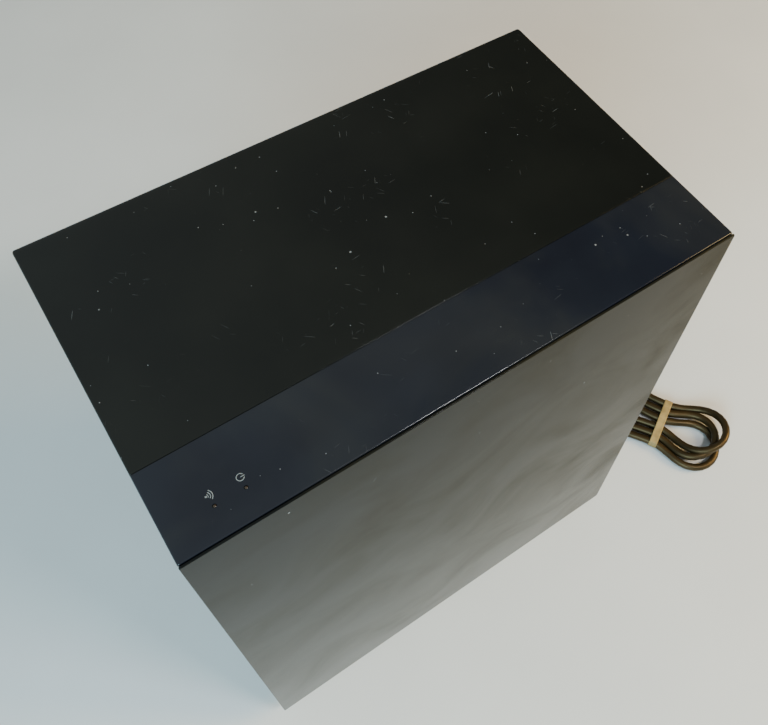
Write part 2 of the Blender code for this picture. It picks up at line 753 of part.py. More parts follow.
def make_port(finishes):
    inner_end = REAR_BOARD_Y + 4 * MM - PORT_LENGTH
    mouth = REAR_BOARD_Y + GAP
    bore = [(PORT_BORE + 1.2 * MM, inner_end), (PORT_BORE, inner_end + 4 * MM)]
    flare_steps = 4
    for i in range(flare_steps + 1):
        angle = math.radians(90 * i / flare_steps)
        bore.append(
            (
                PORT_BORE + PORT_FLARE * (1 - math.cos(angle)),
                mouth + PORT_FLANGE_THICKNESS - PORT_FLARE * (1 - math.sin(angle)),
            )
        )
    outside = [
        (PORT_FLANGE - 1 * MM, mouth + PORT_FLANGE_THICKNESS),
        (PORT_FLANGE, mouth + 2 * MM),
        (PORT_FLANGE, mouth),
        (PORT_OUTSIDE, mouth),
        (PORT_OUTSIDE, inner_end),
    ]
    profile = [(radius, -y) for radius, y in bore + outside]
    add_turned("port_tube", profile, finishes["plastic"], (0, 0, PORT_Z), (math.radians(90), 0, 0))


def plate_screw_places():
    return [(x, z) for x in (-PLATE_SCREW_X, PLATE_SCREW_X) for z in PLATE_SCREW_ZS]


def make_amplifier(finishes):
    plate = add_box(
        "amp_plate",
        (-PLATE_HALF_WIDTH, PLATE_Y, PLATE_LOW_Z),
        (PLATE_HALF_WIDTH, PLATE_BACK_Y, PLATE_HIGH_Z),
        finishes["plate"],
    )
    for x, z in plate_screw_places():
        cut_round(plate, SCREW_HOLE_RADIUS, (x, PLATE_Y, z), BOARD, steps=12)
    cut_round(plate, BUTTON_HOLE_RADIUS, (BUTTON_X, PLATE_Y, BUTTON_Z), BOARD, steps=20)
    cut_round(plate, RELIEF_HOLE_RADIUS, (LEAD_X, PLATE_Y, LEAD_Z), BOARD, steps=20)
    for number, (x, z) in enumerate(plate_screw_places(), 1):
        add_screw(f"plate_screw_{number}", (x, PLATE_BACK_Y + GAP, z), 1, 3.4, 1.7, 12, finishes)

    add_box(
        "amp_board",
        (-PCB_HALF_WIDTH, PCB_FRONT_Y, PCB_LOW_Z),
        (PCB_HALF_WIDTH, PCB_BACK_Y, PCB_HIGH_Z),
        finishes["pcb"],
    )
    low, high = PCB_BACK_Y + GAP, PLATE_Y - GAP
    profile = [(0, -high), (STANDOFF_RADIUS, -high), (STANDOFF_RADIUS, -low), (0, -low)]
    number = 0
    for x in (-STANDOFF_X, STANDOFF_X):
        for z in STANDOFF_ZS:
            number += 1
            add_turned(
                f"board_standoff_{number}",
                profile,
                finishes["brass"],
                (x, 0, z),
                (math.radians(90), 0, 0),
                ring=False,
                steps=6,
            )

    face = PCB_FRONT_Y - GAP
    outline = [(-SINK_HALF_WIDTH, face), (-SINK_HALF_WIDTH, face - SINK_DEPTH)]
    pitch = 2 * SINK_HALF_WIDTH / (2 * SINK_FINS - 1)
    for i in range(SINK_FINS - 1):
        x = -SINK_HALF_WIDTH + pitch * (2 * i + 1)
        outline += [
            (x, face - SINK_DEPTH),
            (x, face - SINK_BASE),
            (x + pitch, face - SINK_BASE),
            (x + pitch, face - SINK_DEPTH),
        ]
    outline += [(SINK_HALF_WIDTH, face - SINK_DEPTH), (SINK_HALF_WIDTH, face)]
    bm = bmesh.new()
    bottom = [bm.verts.new((x, y, SINK_ZS[0])) for x, y in outline]
    top = [bm.verts.new((x, y, SINK_ZS[1])) for x, y in outline]
    bridge(bm, bottom, top)
    bm.faces.new(bottom)
    bm.faces.new(top)
    add_object("heat_sink", bm, finishes["aluminium"])

    add_box(
        "switching_transformer",
        (TRANSFORMER_XS[0], face - TRANSFORMER_DEPTH, TRANSFORMER_ZS[0]),
        (TRANSFORMER_XS[1], face, TRANSFORMER_ZS[1]),
        finishes["tape_winding"],
        bevel=2 * MM,
    )
    add_can("mains_capacitor", *MAINS_CAN, face, finishes["sleeve"])
    add_can("output_capacitor", *OUTPUT_CAN, face, finishes["sleeve"])
    add_box(
        "radio_module",
        (RADIO_XS[0], face - RADIO_DEPTH, RADIO_ZS[0]),
        (RADIO_XS[1], face, RADIO_ZS[1]),
        finishes["steel"],
    )


def add_can(name, place, radius, height, seat_y, finish):
    """An upright capacitor can on the board, standing towards -Y."""
    x, z = place
    profile = [
        (0, 0),
        (radius, 0),
        (radius, height - 1 * MM),
        (radius - 1 * MM, height),
        (0, height),
    ]
    turn = (math.radians(90), 0, 0)
    add_turned(name, profile, finish, (x, seat_y, z), turn, ring=False, steps=20)


def make_button(finishes):
    stem_end = REAR_Y - 1.3 * MM
    inner_end = PLATE_Y - 3.2 * MM
    profile = [
        (0, 0),
        (0.7 * BUTTON_RADIUS, 0),
        (0.7 * BUTTON_RADIUS, 1.4 * MM),
        (1.5 * BUTTON_RADIUS, 1.4 * MM),
        (1.5 * BUTTON_RADIUS, 3.2 * MM - GAP),
        (BUTTON_RADIUS, 3.2 * MM - GAP),
        (BUTTON_RADIUS, stem_end - inner_end - 0.6 * MM),
        (BUTTON_RADIUS - 0.6 * MM, stem_end - inner_end),
        (0, stem_end - inner_end),
    ]
    turn = (math.radians(-90), 0, 0)
    place = (BUTTON_X, inner_end, BUTTON_Z)
    add_turned("pairing_button", profile, finishes["plastic"], place, turn, ring=False, steps=20)
    switch_back = inner_end - BUTTON_TRAVEL - GAP
    add_box(
        "pairing_switch",
        (BUTTON_X - SWITCH_HALF, switch_back - SWITCH_DEPTH, BUTTON_Z - SWITCH_HALF),
        (BUTTON_X + SWITCH_HALF, switch_back, BUTTON_Z + SWITCH_HALF),
        finishes["plastic"],
    )
    board_back = switch_back - SWITCH_DEPTH - GAP
    half_x, half_z = SWITCH_BOARD_HALF
    add_box(
        "switch_board",
        (BUTTON_X - half_x, board_back - SWITCH_BOARD_THICKNESS, BUTTON_Z - half_z),
        (BUTTON_X + half_x, board_back, BUTTON_Z + half_z),
        finishes["pcb"],
    )


def make_strain_relief(finishes):
    flange = PLATE_BACK_Y + GAP
    profile = [
        (0, PLATE_Y - 5 * MM),
        (5 * MM, PLATE_Y - 5 * MM),
        (6 * MM, PLATE_Y - 3 * MM),
        (6 * MM, flange),
        (8.5 * MM, flange),
        (8.5 * MM, flange + 1.8 * MM),
        (6.2 * MM, flange + 3 * MM),
        (4.3 * MM, RELIEF_END_Y - 1 * MM),
        (4.0 * MM, RELIEF_END_Y),
        (0, RELIEF_END_Y),
    ]
    turn = (math.radians(-90), 0, 0)
    place = (LEAD_X, 0, LEAD_Z)
    add_turned("strain_relief", profile, finishes["rubber"], place, turn, ring=False, steps=20)


def hank_point(along, side, height):
    """A point of the hank: along it towards its front loop, to its side, and above the floor."""
    c, s = math.cos(HANK_ANGLE), math.sin(HANK_ANGLE)
    x = HANK_CENTRE[0] + along * c - side * s
    y = HANK_CENTRE[1] + along * s + side * c
    return (x, y, height)


def make_cord(finishes):
    floor = CORD_RADIUS + 0.1 * MM
    start_side = -(FOLD_RADIUS + 1.5 * STRAND_PITCH)
    entry = hank_point(HANK_REAR - 2 * GAP, start_side, floor)
    before_entry = hank_point(HANK_REAR - 12 * MM, start_side, floor)
    route = (
        (LEAD_X, RELIEF_END_Y + GAP, LEAD_Z),
        (LEAD_X, RELIEF_END_Y + 14 * MM, LEAD_Z - 1 * MM),
        (LEAD_X + 3 * MM, RELIEF_END_Y + 31 * MM, LEAD_Z - 11 * MM),
        (LEAD_X + 9 * MM, RELIEF_END_Y + 43 * MM, LEAD_Z - 28 * MM),
        (LEAD_X + 21 * MM, RELIEF_END_Y + 48 * MM, LEAD_Z - 41 * MM),
        (LEAD_X + 38 * MM, RELIEF_END_Y + 46 * MM, floor),
        (LEAD_X + 60 * MM, RELIEF_END_Y + 39 * MM, floor),
        (LEAD_X + 84 * MM, RELIEF_END_Y + 22 * MM, floor),
        (LEAD_X + 101 * MM, RELIEF_END_Y - 4 * MM, floor),
        (LEAD_X + 107 * MM, RELIEF_END_Y - 34 * MM, floor),
        (LEAD_X + 105.5 * MM, RELIEF_END_Y - 62 * MM, floor),
        (LEAD_X + 104.5 * MM, RELIEF_END_Y - 84 * MM, floor),
        before_entry,
        entry,
    )
    path = [(x, y, max(z, floor)) for x, y, z in smooth_path(route, 9 * MM)]
    add_tube("cord_lead", path, CORD_RADIUS, finishes["cord"], 3)

    turn = (0, 0, HANK_ANGLE)
    place = (HANK_CENTRE[0], HANK_CENTRE[1], 0)
    outside = FOLD_RADIUS + CORD_RADIUS
    straight = outside + 1.5 * STRAND_PITCH
    waist = WAIST_OUTER + CORD_RADIUS
    low = 0.2 * MM
    flat, stacked = 7.4 * MM, 20.0 * MM
    rear_stacked = 13.4 * MM
    sections = []
    rear_round = outside + STRAND_PITCH / 2
    for i in range(5):
        angle = math.radians(10 + 80 * i / 4)
        along = HANK_REAR - GAP - rear_round * math.cos(angle)
        sections.append((along, rear_round * math.sin(angle), low, rear_stacked))
    sections += [
        (HANK_REAR, straight, low, rear_stacked),
        (HANK_REAR + 25 * MM, 0.9 * straight, low, 0.8 * rear_stacked),
        (-2.2 * TAPE_HALF_WIDTH, waist + 0.5 * MM, low, flat),
        (-TAPE_HALF_WIDTH - GAP, waist, 1.1 * MM, flat),
        (TAPE_HALF_WIDTH + GAP, waist, 1.1 * MM, flat),
        (2.2 * TAPE_HALF_WIDTH, waist + 1 * MM, low, flat + 2 * MM),
    ]
    front_round = outside + STRAND_PITCH
    for i in range(6):
        angle = math.radians(90 - 80 * i / 5)
        along = HANK_FRONT + outside * math.cos(angle)
        sections.append((along, front_round * math.sin(angle), low, stacked))
    add_lofted("cord_hank", sections, finishes["cord"], place, turn, square=5)

    tape_inside = (waist + GAP, 0.8 * MM, flat + GAP)
    thickness = 0.5 * MM
    tape = add_box(
        "cord_tape",
        (-TAPE_HALF_WIDTH, -tape_inside[0] - thickness, tape_inside[1] - thickness),
        (TAPE_HALF_WIDTH, tape_inside[0] + thickness, tape_inside[2] + thickness),
        finishes["paper_tape"],
    )
    cut_box(
        tape,
        (-2 * TAPE_HALF_WIDTH, -tape_inside[0], tape_inside[1]),
        (2 * TAPE_HALF_WIDTH, tape_inside[0], tape_inside[2]),
    )
    tape.rotation_euler = turn
    tape.location = hank_point(0, 0, tape.location.z)

    plug_face = hank_point(HANK_REAR - 2 * GAP, PLUG_SIDE, PLUG_Z)
    backward = (0, 0, HANK_ANGLE + math.pi)
    boot = 4.3 * MM
    sections = [
        (0, boot, -boot, boot),
        (14 * MM, 5.4 * MM, -5.2 * MM, 5.2 * MM),
        (18 * MM, 8 * MM, -6.8 * MM, 6.8 * MM),
        (24 * MM, 12 * MM, -8.2 * MM, 8.2 * MM),
        (40 * MM, 13 * MM, -8.4 * MM, 8.4 * MM),
        (PLUG_LENGTH, 12.4 * MM, -8 * MM, 8 * MM),
    ]
    add_lofted("plug_body", sections, finishes["cord"], plug_face, backward, square=3, sides=16)
    for name, side in (("plug_pin_left", -PIN_SIDE), ("plug_pin_right", PIN_SIDE)):
        pin = add_box(
            name,
            (0, -PIN_HALF_THICKNESS, -PIN_HALF_HEIGHT),
            (PIN_LENGTH, PIN_HALF_THICKNESS, PIN_HALF_HEIGHT),
            finishes["brass"],
        )
        along = HANK_REAR - 3 * GAP - PLUG_LENGTH - PIN_LENGTH / 2
        pin.location = hank_point(along, PLUG_SIDE + side, PLUG_Z)
        pin.rotation_euler = backward


clear_scene()
FINISHES = make_finishes()
make_cabinet(FINISHES)
make_front(FINISHES)
make_feet(FINISHES)
make_lamps(FINISHES)
make_woofer(FINISHES)
make_port(FINISHES)
make_amplifier(FINISHES)
make_button(FINISHES)
make_strain_relief(FINISHES)
make_cord(FINISHES)
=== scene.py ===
"""Looks of a slim wireless subwoofer: gloss front, vinyl-wrapped box, taped hank of mains lead."""

import json
import math

import bmesh
import bpy
from mathutils import Euler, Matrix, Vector


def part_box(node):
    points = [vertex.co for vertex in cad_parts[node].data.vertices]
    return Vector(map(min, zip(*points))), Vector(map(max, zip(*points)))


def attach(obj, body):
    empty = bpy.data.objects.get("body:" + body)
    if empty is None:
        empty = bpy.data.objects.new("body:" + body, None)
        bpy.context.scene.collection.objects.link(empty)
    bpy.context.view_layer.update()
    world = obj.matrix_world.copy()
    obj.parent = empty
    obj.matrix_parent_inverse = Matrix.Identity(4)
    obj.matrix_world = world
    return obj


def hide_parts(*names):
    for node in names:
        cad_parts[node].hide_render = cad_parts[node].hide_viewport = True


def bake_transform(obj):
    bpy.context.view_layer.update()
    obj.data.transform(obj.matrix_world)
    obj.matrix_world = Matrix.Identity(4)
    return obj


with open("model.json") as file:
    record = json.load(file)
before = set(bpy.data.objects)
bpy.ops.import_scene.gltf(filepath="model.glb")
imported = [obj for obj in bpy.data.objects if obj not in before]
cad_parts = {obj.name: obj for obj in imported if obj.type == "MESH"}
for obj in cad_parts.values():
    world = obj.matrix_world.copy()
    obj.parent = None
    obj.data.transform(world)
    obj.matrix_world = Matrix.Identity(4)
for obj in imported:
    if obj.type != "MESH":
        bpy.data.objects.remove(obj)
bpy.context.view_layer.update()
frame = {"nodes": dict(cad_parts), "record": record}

MM = 0.001
BODY = "cabinet"
BUTTON_BODY = "pairing_button_body"

# Places and sizes taken from the frame
SHELL_LOW, SHELL_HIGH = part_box("cabinet_shell")
COVER_LOW, COVER_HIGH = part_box("front_cover")
PANEL_LOW, PANEL_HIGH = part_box("front_panel")
GRILLE_LOW, GRILLE_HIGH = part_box("slot_grille")
PLATE_LOW, PLATE_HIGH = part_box("amp_plate")
PORT_LOW, PORT_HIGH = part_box("port_tube")
RELIEF_LOW, RELIEF_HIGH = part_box("strain_relief")
BUTTON_LOW, BUTTON_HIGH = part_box("pairing_button")
BASKET_LOW, BASKET_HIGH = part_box("woofer_basket")
CENTRE_X = (SHELL_LOW.x + SHELL_HIGH.x) / 2
BASE_Z, TOP_Z = SHELL_LOW.z, SHELL_HIGH.z
HALF_WIDTH = (SHELL_HIGH.x - SHELL_LOW.x) / 2
EDGE_RADIUS = 1.2 * MM
SMALLEST_RADIUS = 0.15 * MM

# Camera
CAMERA_PLACE = (-0.1277, -0.2116, 0.6912)
CAMERA_HEADING = -38.7
CAMERA_DOWN = 57.75
CAMERA_ROLL = 4.87
CAMERA_LENS = 40.76
CAMERA_SHIFT = (-0.082, -0.0585)

# Mains lead, the same route as its solids
CORD_RADIUS = 3.25 * MM
FLOOR_LINE = CORD_RADIUS + 0.1 * MM
GAP = 0.3 * MM
LEAD_X = (RELIEF_LOW.x + RELIEF_HIGH.x) / 2
LEAD_Z = (RELIEF_LOW.z + RELIEF_HIGH.z) / 2
RELIEF_END_Y = RELIEF_HIGH.y
HANK_CENTRE = (238.5 * MM, -65.7 * MM)
HANK_ANGLE = math.radians(-60.4)
HANK_REAR = -98.4 * MM
FOLD_RADIUS = 21 * MM
STRAND_PITCH = 6.6 * MM
WAIST_OUTER = 20.2 * MM
WAIST_PITCH = WAIST_OUTER / 2.5
FRONT_FOLD_RADIUS = 21 * MM
FRONT_PITCH = 7 * MM
FRONT_ENDS = (31.5 * MM, 27.5 * MM, 33.1 * MM)
RUNS_PER_SIDE = 3
WAIST_LIFT = 0.9 * MM
WAIST_LIFT_REACH = 14 * MM
TAIL_RISE = 45 * MM
FOLD_REACH = 28 * MM  # how far down its runs a fold still lifts them
TAPE_HALF_WIDTH = 3.4 * MM
TAPE_THICKNESS = 0.18 * MM
PLUG_SIDE = FOLD_RADIUS + 1.5 * STRAND_PITCH + 3 * MM
PLUG_Z = 8.6 * MM

# Small pieces
LENS_RADIUS = 0.7 * MM
LENS_RISE = 0.25 * MM
LENS_HOLE_RADIUS = 0.9 * MM
MARK_OFFSET = 5 * MM  # from a lamp back to its mark
BUTTON_RADIUS = 3.2 * MM
BUTTON_HOLE_RADIUS = 3.6 * MM
LEAD_HOLE_RADIUS = 6.2 * MM
SCREW_HOLE_RADIUS = 2 * MM
SCREW_HEAD_HEIGHT = 1.8 * MM
SCREW_TURN = 37  # degrees from one screw's cross recess to the next
CUT_DEPTH = 9 * MM
SHARP_ANGLE = 32
FLOOR_HALF_SIZE = 4
FLOOR_GAP = 0.2 * MM


# ---------------------------------------------------------------- camera, floor and light
def make_camera():
    data = bpy.data.cameras.new("camera")
    data.lens = CAMERA_LENS
    data.shift_x, data.shift_y = CAMERA_SHIFT
    data.clip_start = 0.01
    obj = bpy.data.objects.new("camera", data)
    obj.location = CAMERA_PLACE
    heading = Euler((0, 0, math.radians(CAMERA_HEADING))).to_matrix()
    tilt = Euler((math.radians(90 - CAMERA_DOWN), 0, 0)).to_matrix()
    roll = Euler((0, 0, math.radians(CAMERA_ROLL))).to_matrix()
    obj.rotation_euler = (heading @ tilt @ roll).to_euler()
    bpy.context.scene.collection.objects.link(obj)
    bpy.context.scene.camera = obj


def make_light(name, place, size, power, colour):
    data = bpy.data.lights.new(name, "AREA")
    data.shape = "RECTANGLE"
    data.size, data.size_y = size
    data.energy = power
    data.color = colour
    obj = bpy.data.objects.new(name, data)
    obj.location = place
    obj.rotation_euler = (-Vector(place)).to_track_quat("-Z", "Y").to_euler()
    bpy.context.scene.collection.objects.link(obj)


def open_below(material):
    """Lets the material be seen through from behind, so that the object shows from below."""
    tree = material.node_tree
    shader = tree.nodes["Principled BSDF"]
    clear = tree.nodes.new("ShaderNodeBsdfTransparent")
    sides = tree.nodes.new("ShaderNodeNewGeometry")
    mix = tree.nodes.new("ShaderNodeMixShader")
    tree.links.new(sides.outputs["Backfacing"], mix.inputs["Fac"])
    tree.links.new(shader.outputs["BSDF"], mix.inputs[1])
    tree.links.new(clear.outputs["BSDF"], mix.inputs[2])
    tree.links.new(mix.outputs["Shader"], tree.nodes["Material Output"].inputs["Surface"])


def make_stage():
    bm = bmesh.new()
    bmesh.ops.create_grid(bm, x_segments=1, y_segments=1, size=FLOOR_HALF_SIZE)
    mesh = bpy.data.meshes.new("floor")
    bm.to_mesh(mesh)
    bm.free()
    floor = bpy.data.objects.new("floor", mesh)
    floor.location.z = -FLOOR_GAP
    bpy.context.scene.collection.objects.link(floor)
    floor.data.materials.append(
        surface(
            "floor_pale", (0.80, 0.80, 0.79), (0.76, 0.76, 0.75), 0.7, 0.8,
            scale=6, detail_scale=300, bump=0.02,
        )
    )
    open_below(floor.data.materials[0])
    world = bpy.data.worlds.new("studio")
    world.use_nodes = True
    tree = world.node_tree
    background = tree.nodes["Background"]
    direction = tree.nodes.new("ShaderNodeTexCoord")
    axes = tree.nodes.new("ShaderNodeSeparateXYZ")
    tree.links.new(direction.outputs["Generated"], axes.inputs["Vector"])
    side = to_range(tree, axes.outputs["X"], -0.1, 0.6)
    colour = blend_colour(tree, side, (0.80, 0.92, 0.96), (0.92, 0.94, 0.86))
    tree.links.new(colour, background.inputs["Color"])
    strength = to_range(tree, axes.outputs["X"], -0.1, 0.6, 0.52, 0.07)
    rays = tree.nodes.new("ShaderNodeLightPath")
    backdrop = combine(tree, "MULTIPLY", rays.outputs["Is Camera Ray"], 0.7)
    strength = combine(tree, "MAXIMUM", strength, backdrop)
    tree.links.new(strength, background.inputs["Strength"])
    bpy.context.scene.world = world
    make_light("key_soft", (-1.2, -1.1, 1.15), (0.9, 0.9), 40, (0.56, 0.88, 1.0))
    make_light("fill_warm", (1.4, -0.8, 0.95), (0.8, 0.8), 33, (1.0, 0.71, 0.31))
    make_light("edge_light", (0.36, -0.78, 1.35), (0.3, 0.12), 9, (1.0, 1.0, 1.0))


# ---------------------------------------------------------------- materials
def add_node(tree, kind, **values):
    """A shader node; values set its inputs by name, with underscores for spaces."""
    made = tree.nodes.new(kind)
    for name, value in values.items():
        made.inputs[name.replace("_", " ")].default_value = value
    return made


def mapped(tree, scale=(1, 1, 1), rotation=(0, 0, 0)):
    """Object coordinates, stretched and turned."""
    coordinates = tree.nodes.new("ShaderNodeTexCoord")
    mapping = tree.nodes.new("ShaderNodeMapping")
    mapping.inputs["Scale"].default_value = scale
    mapping.inputs["Rotation"].default_value = rotation
    tree.links.new(coordinates.outputs["Object"], mapping.inputs["Vector"])
    return mapping.outputs["Vector"]


def noise(tree, vector, scale, detail=3.0, roughness=0.5):
    made = add_node(tree, "ShaderNodeTexNoise", Scale=scale, Detail=detail, Roughness=roughness)
    tree.links.new(vector, made.inputs["Vector"])
    return made.outputs["Fac"]


def to_range(tree, value, low, high, out_low=0.0, out_high=1.0):
    made = tree.nodes.new("ShaderNodeMapRange")
    for name, number in (
        ("From Min", low),
        ("From Max", high),
        ("To Min", out_low),
        ("To Max", out_high),
    ):
        made.inputs[name].default_value = number
    tree.links.new(value, made.inputs["Value"])
    return made.outputs["Result"]


def combine(tree, operation, first, second):
    made = tree.nodes.new("ShaderNodeMath")
    made.operation = operation
    made.use_clamp = True
    for value, socket in ((first, made.inputs[0]), (second, made.inputs[1])):
        if isinstance(value, (int, float)):
            socket.default_value = value
        else:
            tree.links.new(value, socket)
    return made.outputs["Value"]


def blend_colour(tree, factor, first, second):
    made = tree.nodes.new("ShaderNodeMix")
    made.data_type = "RGBA"
    tree.links.new(factor, made.inputs["Factor"])
    for value, name in ((first, "A"), (second, "B")):
        socket = next(s for s in made.inputs if s.name == name and s.type == "RGBA")
        if isinstance(value, tuple):
            socket.default_value = (*value, 1)
        else:
            tree.links.new(value, socket)
    return next(s for s in made.outputs if s.type == "RGBA")


def specks(tree, scale, size, share):
    """Round specks: a Voronoi cell's centre, in a share of the cells."""
    voronoi = add_node(tree, "ShaderNodeTexVoronoi", Scale=scale)
    tree.links.new(mapped(tree), voronoi.inputs["Vector"])
    dot = to_range(tree, voronoi.outputs["Distance"], size, 0.6 * size)
    split = tree.nodes.new("ShaderNodeSeparateColor")
    tree.links.new(voronoi.outputs["Color"], split.inputs["Color"])
    chosen = combine(tree, "LESS_THAN", split.outputs["Red"], share)
    return combine(tree, "MULTIPLY", dot, chosen)


def scratches(tree, upright, angles, length, width, threshold):
    """Thin short lines at several angles, on level faces or, when upright, on the front face."""
    total = None
    for angle in angles:
        turn = math.radians(angle)
        vector = mapped(tree, (length, width, width), (0, turn, 0) if upright else (0, 0, turn))
        vector.node.vector_type = "TEXTURE"
        line = to_range(tree, noise(tree, vector, 1.0, 1.0), threshold, threshold + 0.04)
        total = line if total is None else combine(tree, "MAXIMUM", total, line)
    patches = to_range(tree, noise(tree, mapped(tree), 22, 2.0), 0.54, 0.64)
    return combine(tree, "MULTIPLY", total, patches)


def surface(
    name,
    first,
    second,
    rough_low,
    rough_high,
    metallic=0.0,
    scale=40,
    detail_scale=900,
    bump=0.1,
    bump_depth=0.0002,
    stretch=(1, 1, 1),
    specular=0.5,
    pattern="noise",
    dust=0.0,
    dust_colour=(0.35, 0.36, 0.36),
    marks=0.0,
    haze=0.0,
    painted_reflection_to_right=0.0,
    upright=False,
    tint=(1.0, 1.0, 1.0),
    smear_and_painted_reflection_colour=(0.05, 0.05, 0.045),
):
    """A procedural surface: two tones, uneven roughness, fine relief, optional dust and marks,
    optional smears, and an optional painted reflection: towards +X the colour turns to the smear
    colour and the specular drops.
    """
    material = bpy.data.materials.new(name)
    material.use_nodes = True
    tree = material.node_tree
    shader = tree.nodes["Principled BSDF"]
    shader.inputs["Metallic"].default_value = metallic
    shader.inputs["Specular IOR Level"].default_value = specular
    shader.inputs["Specular Tint"].default_value = (*tint, 1)
    plain = mapped(tree)
    tone = to_range(tree, noise(tree, plain, scale, 4.0), 0.35, 0.65)
    colour = blend_colour(tree, tone, first, second)
    uneven = noise(tree, plain, scale * 0.6, 3.0, 0.6)
    rough = to_range(tree, uneven, 0.3, 0.7, rough_low, rough_high)
    stretched = mapped(tree, stretch)
    if pattern == "noise":
        height = noise(tree, stretched, detail_scale, 3.0)
    elif pattern == "cells":
        cells = add_node(tree, "ShaderNodeTexVoronoi", Scale=detail_scale)
        tree.links.new(stretched, cells.inputs["Vector"])
        height = cells.outputs["Distance"]
    else:
        wave = add_node(tree, "ShaderNodeTexWave", Scale=detail_scale, Distortion=0.6, Detail=1.0)
        wave.bands_direction = pattern
        tree.links.new(stretched, wave.inputs["Vector"])
        height = wave.outputs["Fac"]
    if haze:
        smear = noise(tree, mapped(tree, (6, 6, 8), (0.5, 0.9, 0.3)), 2.2, 4.0, 0.55)
        smear.node.inputs["Distortion"].default_value = 0.6
        smear_and_painted_reflection = to_range(tree, smear, 0.40, 0.72, 0.0, haze)
        # Painted reflection: a ramp across X raises the smear amount towards +X, so the colour
        # turns to the smear colour there and the specular drops. It stands in for a warm, darker
        # reflection on the right.
        if painted_reflection_to_right:
            axes = tree.nodes.new("ShaderNodeSeparateXYZ")
            tree.links.new(plain, axes.inputs["Vector"])
            painted_reflection_ramp = to_range(tree, axes.outputs["X"], -0.10, 0.13, 0.0, painted_reflection_to_right)
            smear_and_painted_reflection = combine(tree, "ADD", smear_and_painted_reflection, painted_reflection_ramp)
            dulled = to_range(tree, smear_and_painted_reflection, 0.0, 1.0, specular, 0.1 * specular)
            tree.links.new(dulled, shader.inputs["Specular IOR Level"])
        colour = blend_colour(tree, smear_and_painted_reflection, colour, smear_and_painted_reflection_colour)
        film_rough = to_range(tree, smear_and_painted_reflection, 0.0, 1.0, 0.0, 0.12)
        rough = combine(tree, "ADD", rough, film_rough)
    if dust:
        spots = specks(tree, 120, 0.075, 0.10 * dust)
        fine = specks(tree, 380, 0.12, 0.06 * dust)
        all_dust = combine(tree, "MULTIPLY", combine(tree, "MAXIMUM", spots, fine), 0.55)
        colour = blend_colour(tree, all_dust, colour, dust_colour)
        rough = combine(tree, "MAXIMUM", rough, all_dust)
    if marks:
        lines = scratches(tree, upright, (8, 63, -37, 118), 11 * MM, 0.5 * MM, 0.755)
        lines = combine(tree, "MULTIPLY", lines, marks)
        colour = blend_colour(tree, lines, colour, (0.22, 0.23, 0.23))
        rough = combine(tree, "MAXIMUM", rough, lines)
    relief = tree.nodes.new("ShaderNodeBump")
    relief.inputs["Strength"].default_value = bump
    relief.inputs["Distance"].default_value = bump_depth
    tree.links.new(height, relief.inputs["Height"])
    tree.links.new(relief.outputs["Normal"], shader.inputs["Normal"])
    tree.links.new(colour, shader.inputs["Base Color"])
    tree.links.new(rough, shader.inputs["Roughness"])
    return material


